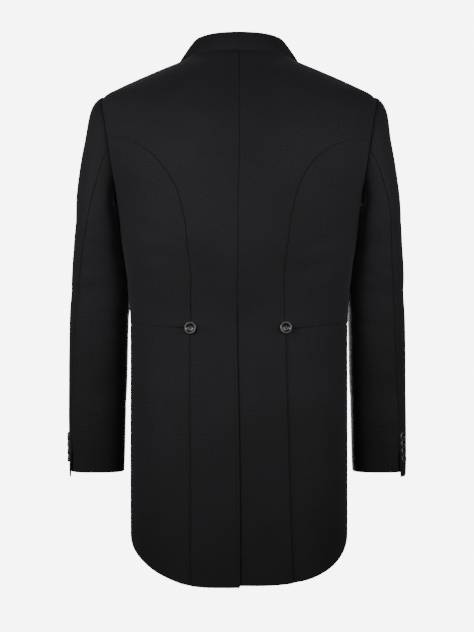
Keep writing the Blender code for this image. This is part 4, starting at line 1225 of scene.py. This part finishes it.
def cuff_buttons(side):
    """Four lapped buttons beside each vent edge, each tilted over the next."""
    grid, normal = sleeve_form(side, np.linspace(0, 360, HOLE_POINTS))
    first, second = CUFF_BUTTON_TURNS[column(side)]
    line = (grid[:, first] + grid[:, second]) / 2
    out = unit(normal[:, first] + normal[:, second])
    tilt = np.radians(BUTTON_TILT)
    for number in range(4):
        height = CUFF_BUTTON_HEIGHT - number * BUTTON_PITCH
        seat = on_path(line, -line[:, 2], -height)
        facing = unit(on_path(out, -line[:, 2], -height))
        axis = unit(facing * np.cos(tilt) + np.array([0, 0, 1]) * np.sin(tilt))
        name = f"cuff_button_{column(side)}_{number + 1}"
        spin = np.radians(CUFF_BUTTON_SPINS[number] * side)
        seat = seat + facing * CUFF_BUTTON_SEAT
        sewn_button(name, CUFF_BUTTON, CUFF_BUTTON_HOLES, seat, axis, spin)


def stitches(name, path, out, pitch, width):
    """Row of stitches: each a small pillow, width narrowing and height falling to its ends.

    Point = place + run * s + side * t * sqrt(1 - 0.8 s^2) + out * height * (1 - t^2)(1 - s^4).
    """
    reach = np.concatenate([[0], np.cumsum(np.linalg.norm(np.diff(path, axis=0), axis=1))])
    at = np.arange(pitch / 2, reach[-1], pitch)
    place, up = on_path(path, reach, at), unit(on_path(out, reach, at))
    run = unit(on_path(path, reach, at + 0.5) - place)
    beside = np.cross(up, run)
    s, t = np.meshgrid(np.linspace(-1, 1, 7), np.linspace(-1, 1, 5), indexing="ij")
    long, wide = s * STITCH_LENGTH / 2, t * width / 2 * np.sqrt(1 - STITCH_TAPER * s**2)
    high = STITCH_RISE * (1 - t**2) * (1 - s**4) - STITCH_SINK
    shape = np.stack([long, wide, high], -1) @ np.stack([run, beside, up], 1)[:, None]
    points = place[:, None, None] + shape
    index = np.arange(points[..., 0].size).reshape(points.shape[:3])
    quads = np.concatenate([grid_quads(one) for one in index])
    worn(mesh_object(name, points.reshape(-1, 3), [quads], THREAD))


def back_stitching():
    """Stitch rows on the left back: across the head of the vent, and down beside its edge."""
    across = np.linspace(VENT_ROW_FROM, VENT_ROW_TO, 80)
    angle = angle_at(across, VENT_ROW_HEIGHT)
    stitches("vent_head_stitches", body_point(angle, VENT_ROW_HEIGHT + 0 * angle),
             body_normal(angle, VENT_ROW_HEIGHT + 0 * angle), **HEAD_STITCH)
    height = np.linspace(VENT_TOP - 1, HEM_LEVEL, 200)
    edge = centre_line(height) + VENT_EDGE_ROW
    angle = angle_at(edge, height)
    stitches("vent_edge_stitches", body_point(angle, height), body_normal(angle, height), **EDGE_STITCH)


def buttonhole():
    """Worked buttonhole on the left front: a corded loop with an eye, and the slit inside it."""
    turn = np.linspace(0, 2 * np.pi, 97)
    share = (1 - np.cos(turn)) / 2
    half = BUTTONHOLE_HALF * np.abs(np.sin(turn)) ** BUTTONHOLE_SQUARENESS
    eye = EYE_HALF * bell(share - EYE_PLACE, EYE_REACH)
    across = BUTTONHOLE_FROM + (BUTTONHOLE_TO - BUTTONHOLE_FROM) * share
    height = BUTTONHOLE_HEIGHT + (half + eye) * np.sign(np.sin(turn))
    angle = angle_at(across, height, True)
    out = body_normal(angle, height)
    loop = body_point(angle, height) + out * CORD_RISE
    cord = mesh_object("front_buttonhole_cord", *tube(loop, CORD_RADIUS, 8), THREAD)
    # The slit is a near-black tube: painted shade in the opening.
    inner = np.linspace(BUTTONHOLE_FROM + SLIT_INSET[0], BUTTONHOLE_TO - SLIT_INSET[1], 40)
    angle = angle_at(inner, BUTTONHOLE_HEIGHT, True)
    slit_path = body_point(angle, BUTTONHOLE_HEIGHT + 0 * angle)
    slit = mesh_object("front_buttonhole_slit", *tube(slit_path, SLIT_RADIUS, 6), SLIT)
    worn(cord)
    worn(slit)


class Value:
    """One socket in an expression: each operation on it adds a Math node."""

    def __init__(self, graph, socket):
        self.graph = graph
        self.socket = socket

    def math(self, operation, first, second):
        return self.graph.node("ShaderNodeMath", {"operation": operation}, {0: first, 1: second})

    def __add__(self, other):
        return self.math("ADD", self, other)

    __radd__ = __add__

    def __sub__(self, other):
        return self.math("SUBTRACT", self, other)

    def __rsub__(self, other):
        return self.math("SUBTRACT", other, self)

    def __mul__(self, other):
        return self.math("MULTIPLY", self, other)

    __rmul__ = __mul__

    def sine(self):
        return self.math("SINE", self, 0.0)


class Graph:
    """Node tree of one new material."""

    def __init__(self, name):
        self.material = bpy.data.materials.new(name)
        self.material.use_nodes = True
        self.tree = self.material.node_tree
        self.tree.nodes.clear()

    def node(self, kind, settings=None, inputs=None, output=0):
        """Any node: settings first, then the values or links of its sockets; gives one output."""
        made = self.tree.nodes.new(kind)
        for name, setting in (settings or {}).items():
            setattr(made, name, setting)
        for name, given in (inputs or {}).items():
            if isinstance(given, Value):
                self.tree.links.new(given.socket, made.inputs[name])
            else:
                made.inputs[name].default_value = given
        return Value(self, made.outputs[output]) if len(made.outputs) else None

    def split(self, vector):
        """The parts of a vector."""
        parts = self.tree.nodes.new("ShaderNodeSeparateXYZ")
        self.tree.links.new(vector.socket, parts.inputs[0])
        return [Value(self, socket) for socket in parts.outputs]

    def noise(self, vector, scale, detail=3.0):
        """Noise at a scale given for each axis."""
        scaled = self.node("ShaderNodeVectorMath", {"operation": "MULTIPLY"}, {0: vector, 1: scale})
        rates = {"Vector": scaled, "Scale": 1.0, "Detail": detail}
        return self.node("ShaderNodeTexNoise", {}, rates)

    def place(self):
        """Point on the object, in metres."""
        return self.node("ShaderNodeTexCoord", {}, {}, 3)

    def layer(self, name):
        """Number kept on the mesh under a name."""
        return self.node("ShaderNodeAttribute", {"attribute_name": name}, {}, 2)

    def bump(self, height, strength, distance):
        """Normal tipped by a height."""
        sizes = {"Height": height, "Strength": strength, "Distance": distance}
        return self.node("ShaderNodeBump", {}, sizes)

    def surface(self, values):
        """Principled surface with these values."""
        return self.node("ShaderNodeBsdfPrincipled", {}, values)

    def range(self, value, low, high, to_low, to_high):
        """Value carried from one range to another, held at its ends."""
        return self.node("ShaderNodeMapRange", {"clamp": True},
                         {0: value, 1: low, 2: high, 3: to_low, 4: to_high})

    def blend(self, factor, first, second):
        """Colour between two others."""
        return self.node("ShaderNodeMix", {"data_type": "RGBA"}, {0: factor, 6: first, 7: second}, 2)

    def finish(self, shader):
        """Shader to the surface; gives the material."""
        self.node("ShaderNodeOutputMaterial", {}, {"Surface": shader})
        return self.material


def black_wool():
    """Fine black worsted: twill lines, uneven threads, a soft nap, and painted shade in seams, under laps
    and along stitch rows.
    """
    graph = Graph("black_worsted")
    weave = graph.node("ShaderNodeUVMap", {"uv_map": "cloth"})
    place = graph.place()
    across, down, _ = graph.split(weave)
    warp = graph.noise(weave, (1300.0, 330.0, 1.0))
    weft = graph.noise(weave, (300.0, 1150.0, 1.0))
    speck = graph.noise(weave, (880.0, 880.0, 1.0), 2.0)
    broad = graph.noise(place, (9.0, 9.0, 9.0), 2.0)
    twill = ((across * 0.62 + down) * TWILL_RATE).sine()
    tone = warp * 0.3 + weft * 0.25 + speck * 0.37 + broad * 0.08
    threads = graph.range(tone, 0.42, 0.58, 0.0, 1.0)
    colour = graph.blend(threads, WOOL_DARK, WOOL_LIGHT)
    # Painted shade: the colour is drawn towards near-black where the 'seam' layer holds painted shade.
    seam = graph.layer("seam")
    colour = graph.blend(seam * 0.92, colour, WOOL_PAINTED_SHADE)
    height = warp * 0.45 + weft * 0.35 + twill * 0.12 + speck * 0.3
    return graph.finish(graph.surface({
        "Base Color": colour,
        "Roughness": graph.range(speck, 0.3, 0.7, 0.74, 0.92),
        "Normal": graph.bump(height, 0.55, 0.00035),
        "Specular IOR Level": 0.28,
        "Sheen Weight": 0.12,
        "Sheen Roughness": 0.42,
        "Sheen Tint": (0.9, 0.9, 1.0, 1.0),
    }))


def dark_horn():
    """Polished dark horn with cloudy streaks, and a painted highlight: a lighter rim."""
    graph = Graph("dark_horn_polished")
    place = graph.place()
    cloud = graph.noise(place, (260.0, 260.0, 620.0), 4.0)
    fine = graph.noise(place, (1500.0, 1500.0, 1500.0), 2.0)
    # Painted highlight: the rim layer lifts the tone towards HORN_LIGHT.
    rim = graph.layer("rim")
    tone = graph.range(cloud * 0.5 + fine * 0.15 + rim * 0.35, 0.34, 0.78, 0.0, 1.0)
    colour = graph.blend(tone, HORN_DARK, HORN_LIGHT)
    return graph.finish(graph.surface({
        "Base Color": colour,
        "Roughness": graph.range(fine, 0.3, 0.7, 0.2, 0.36),
        "Normal": graph.bump(fine, 0.12, 0.0001),
        "Specular IOR Level": 0.55,
        "Coat Weight": 0.25,
        "Coat Roughness": 0.18,
    }))


def silk_thread():
    """Twisted sewing thread."""
    graph = Graph("sewing_thread")
    place = graph.place()
    twist = graph.noise(place, (3000.0, 3000.0, 3000.0), 2.0)
    colour = graph.blend(twist, THREAD_DARK, THREAD_LIGHT)
    return graph.finish(graph.surface({
        "Base Color": colour,
        "Roughness": 0.55,
        "Normal": graph.bump(twist, 0.4, 0.0001),
        "Sheen Weight": 0.2,
    }))


def plain_dark():
    """Painted shade for the buttonhole's slit and the armhole tape: nearly black and dull, darker than the
    wool, with a little grain.
    """
    graph = Graph("buttonhole_slit")
    place = graph.place()
    grain = graph.noise(place, (2500.0, 2500.0, 2500.0), 2.0)
    colour = graph.blend(grain, SLIT_DARK, WOOL_DARK)
    return graph.finish(graph.surface({"Base Color": colour, "Roughness": 0.95}))


def studio_floor():
    """Round pale floor that fades to the white of the air round it: glow rises with the radius."""
    graph = Graph("studio_floor_white")
    place = graph.place()
    radius = graph.node("ShaderNodeVectorMath", {"operation": "LENGTH"}, {0: place}, 1)
    far = graph.range(radius, FLOOR_FADE[0], FLOOR_FADE[1], 0.0, 1.0)
    near = graph.surface({
        "Base Color": FLOOR_WHITE,
        "Roughness": 0.9,
        "Emission Color": FLOOR_WHITE,
        "Emission Strength": FLOOR_GLOW,
    })
    glow = graph.node("ShaderNodeEmission", {}, {"Color": FLOOR_WHITE, "Strength": AIR_WHITE})
    material = graph.finish(graph.node("ShaderNodeMixShader", {}, {0: far, 1: near, 2: glow}))
    ring = np.linspace(0, 1, 25)[:, None] * FLOOR_RADIUS
    turn = np.linspace(0, 2 * np.pi, 73)[None, :-1]
    points = np.stack(np.broadcast_arrays(ring * np.cos(turn), ring * np.sin(turn), FLOOR_HEIGHT), -1)
    index = np.arange(points.shape[0] * points.shape[1]).reshape(points.shape[:2])
    index = np.concatenate([index, index[:, :1]], axis=1)
    floor = mesh_object("studio_floor", points.reshape(-1, 3), [grid_quads(index)], material)
    floor.visible_diffuse = False
    floor.visible_glossy = False


def studio_air():
    """White all round, seen by the camera alone, so that only the soft lights reach the cloth."""
    world = bpy.data.worlds.new("studio_air")
    bpy.context.scene.world = world
    world.use_nodes = True
    background = world.node_tree.nodes["Background"]
    background.inputs["Color"].default_value = (1.0, 1.0, 1.0, 1.0)
    background.inputs["Strength"].default_value = AIR_WHITE
    world.cycles_visibility.diffuse = False
    world.cycles_visibility.glossy = False


def softbox(name, place, target, width, height, power):
    """Rectangular soft light aimed at a point."""
    light = bpy.data.lights.new(name, "AREA")
    light.shape = "RECTANGLE"
    light.size = width
    light.size_y = height
    light.energy = power
    made = bpy.data.objects.new(name, light)
    bpy.context.scene.collection.objects.link(made)
    made.location = place
    made.visible_camera = False
    aim = unit(np.array(place) - np.array(target))
    made.rotation_euler = (np.arccos(aim[2]), 0.0, np.arctan2(aim[1], aim[0]) + np.pi / 2)


def camera():
    """Camera straight behind the coat, 3 m away, as high as the middle of the picture."""
    lens = bpy.data.cameras.new("back_view")
    lens.lens = CAMERA_LENS
    lens.sensor_fit = "VERTICAL"
    lens.sensor_height = SENSOR_HEIGHT
    made = bpy.data.objects.new("back_view", lens)
    made.location = CAMERA_PLACE
    made.rotation_euler = (np.pi / 2, 0.0, np.pi)
    bpy.context.scene.collection.objects.link(made)
    bpy.context.scene.camera = made


WOOL = black_wool()
HORN = dark_horn()
THREAD = silk_thread()
SLIT = plain_dark()

for side in (1, -1):
    back_piece(side)
    side_piece(side)
    fore_piece(side)
    skirt_piece(side)
    sleeve_pieces(side)
    armhole_tape(side)
    cuff_buttons(side)
    lapel_piece(side)
collar_piece()

body_buttons()
back_stitching()
buttonhole()

studio_floor()
studio_air()
for light in LIGHTS:
    softbox(*light)
camera()
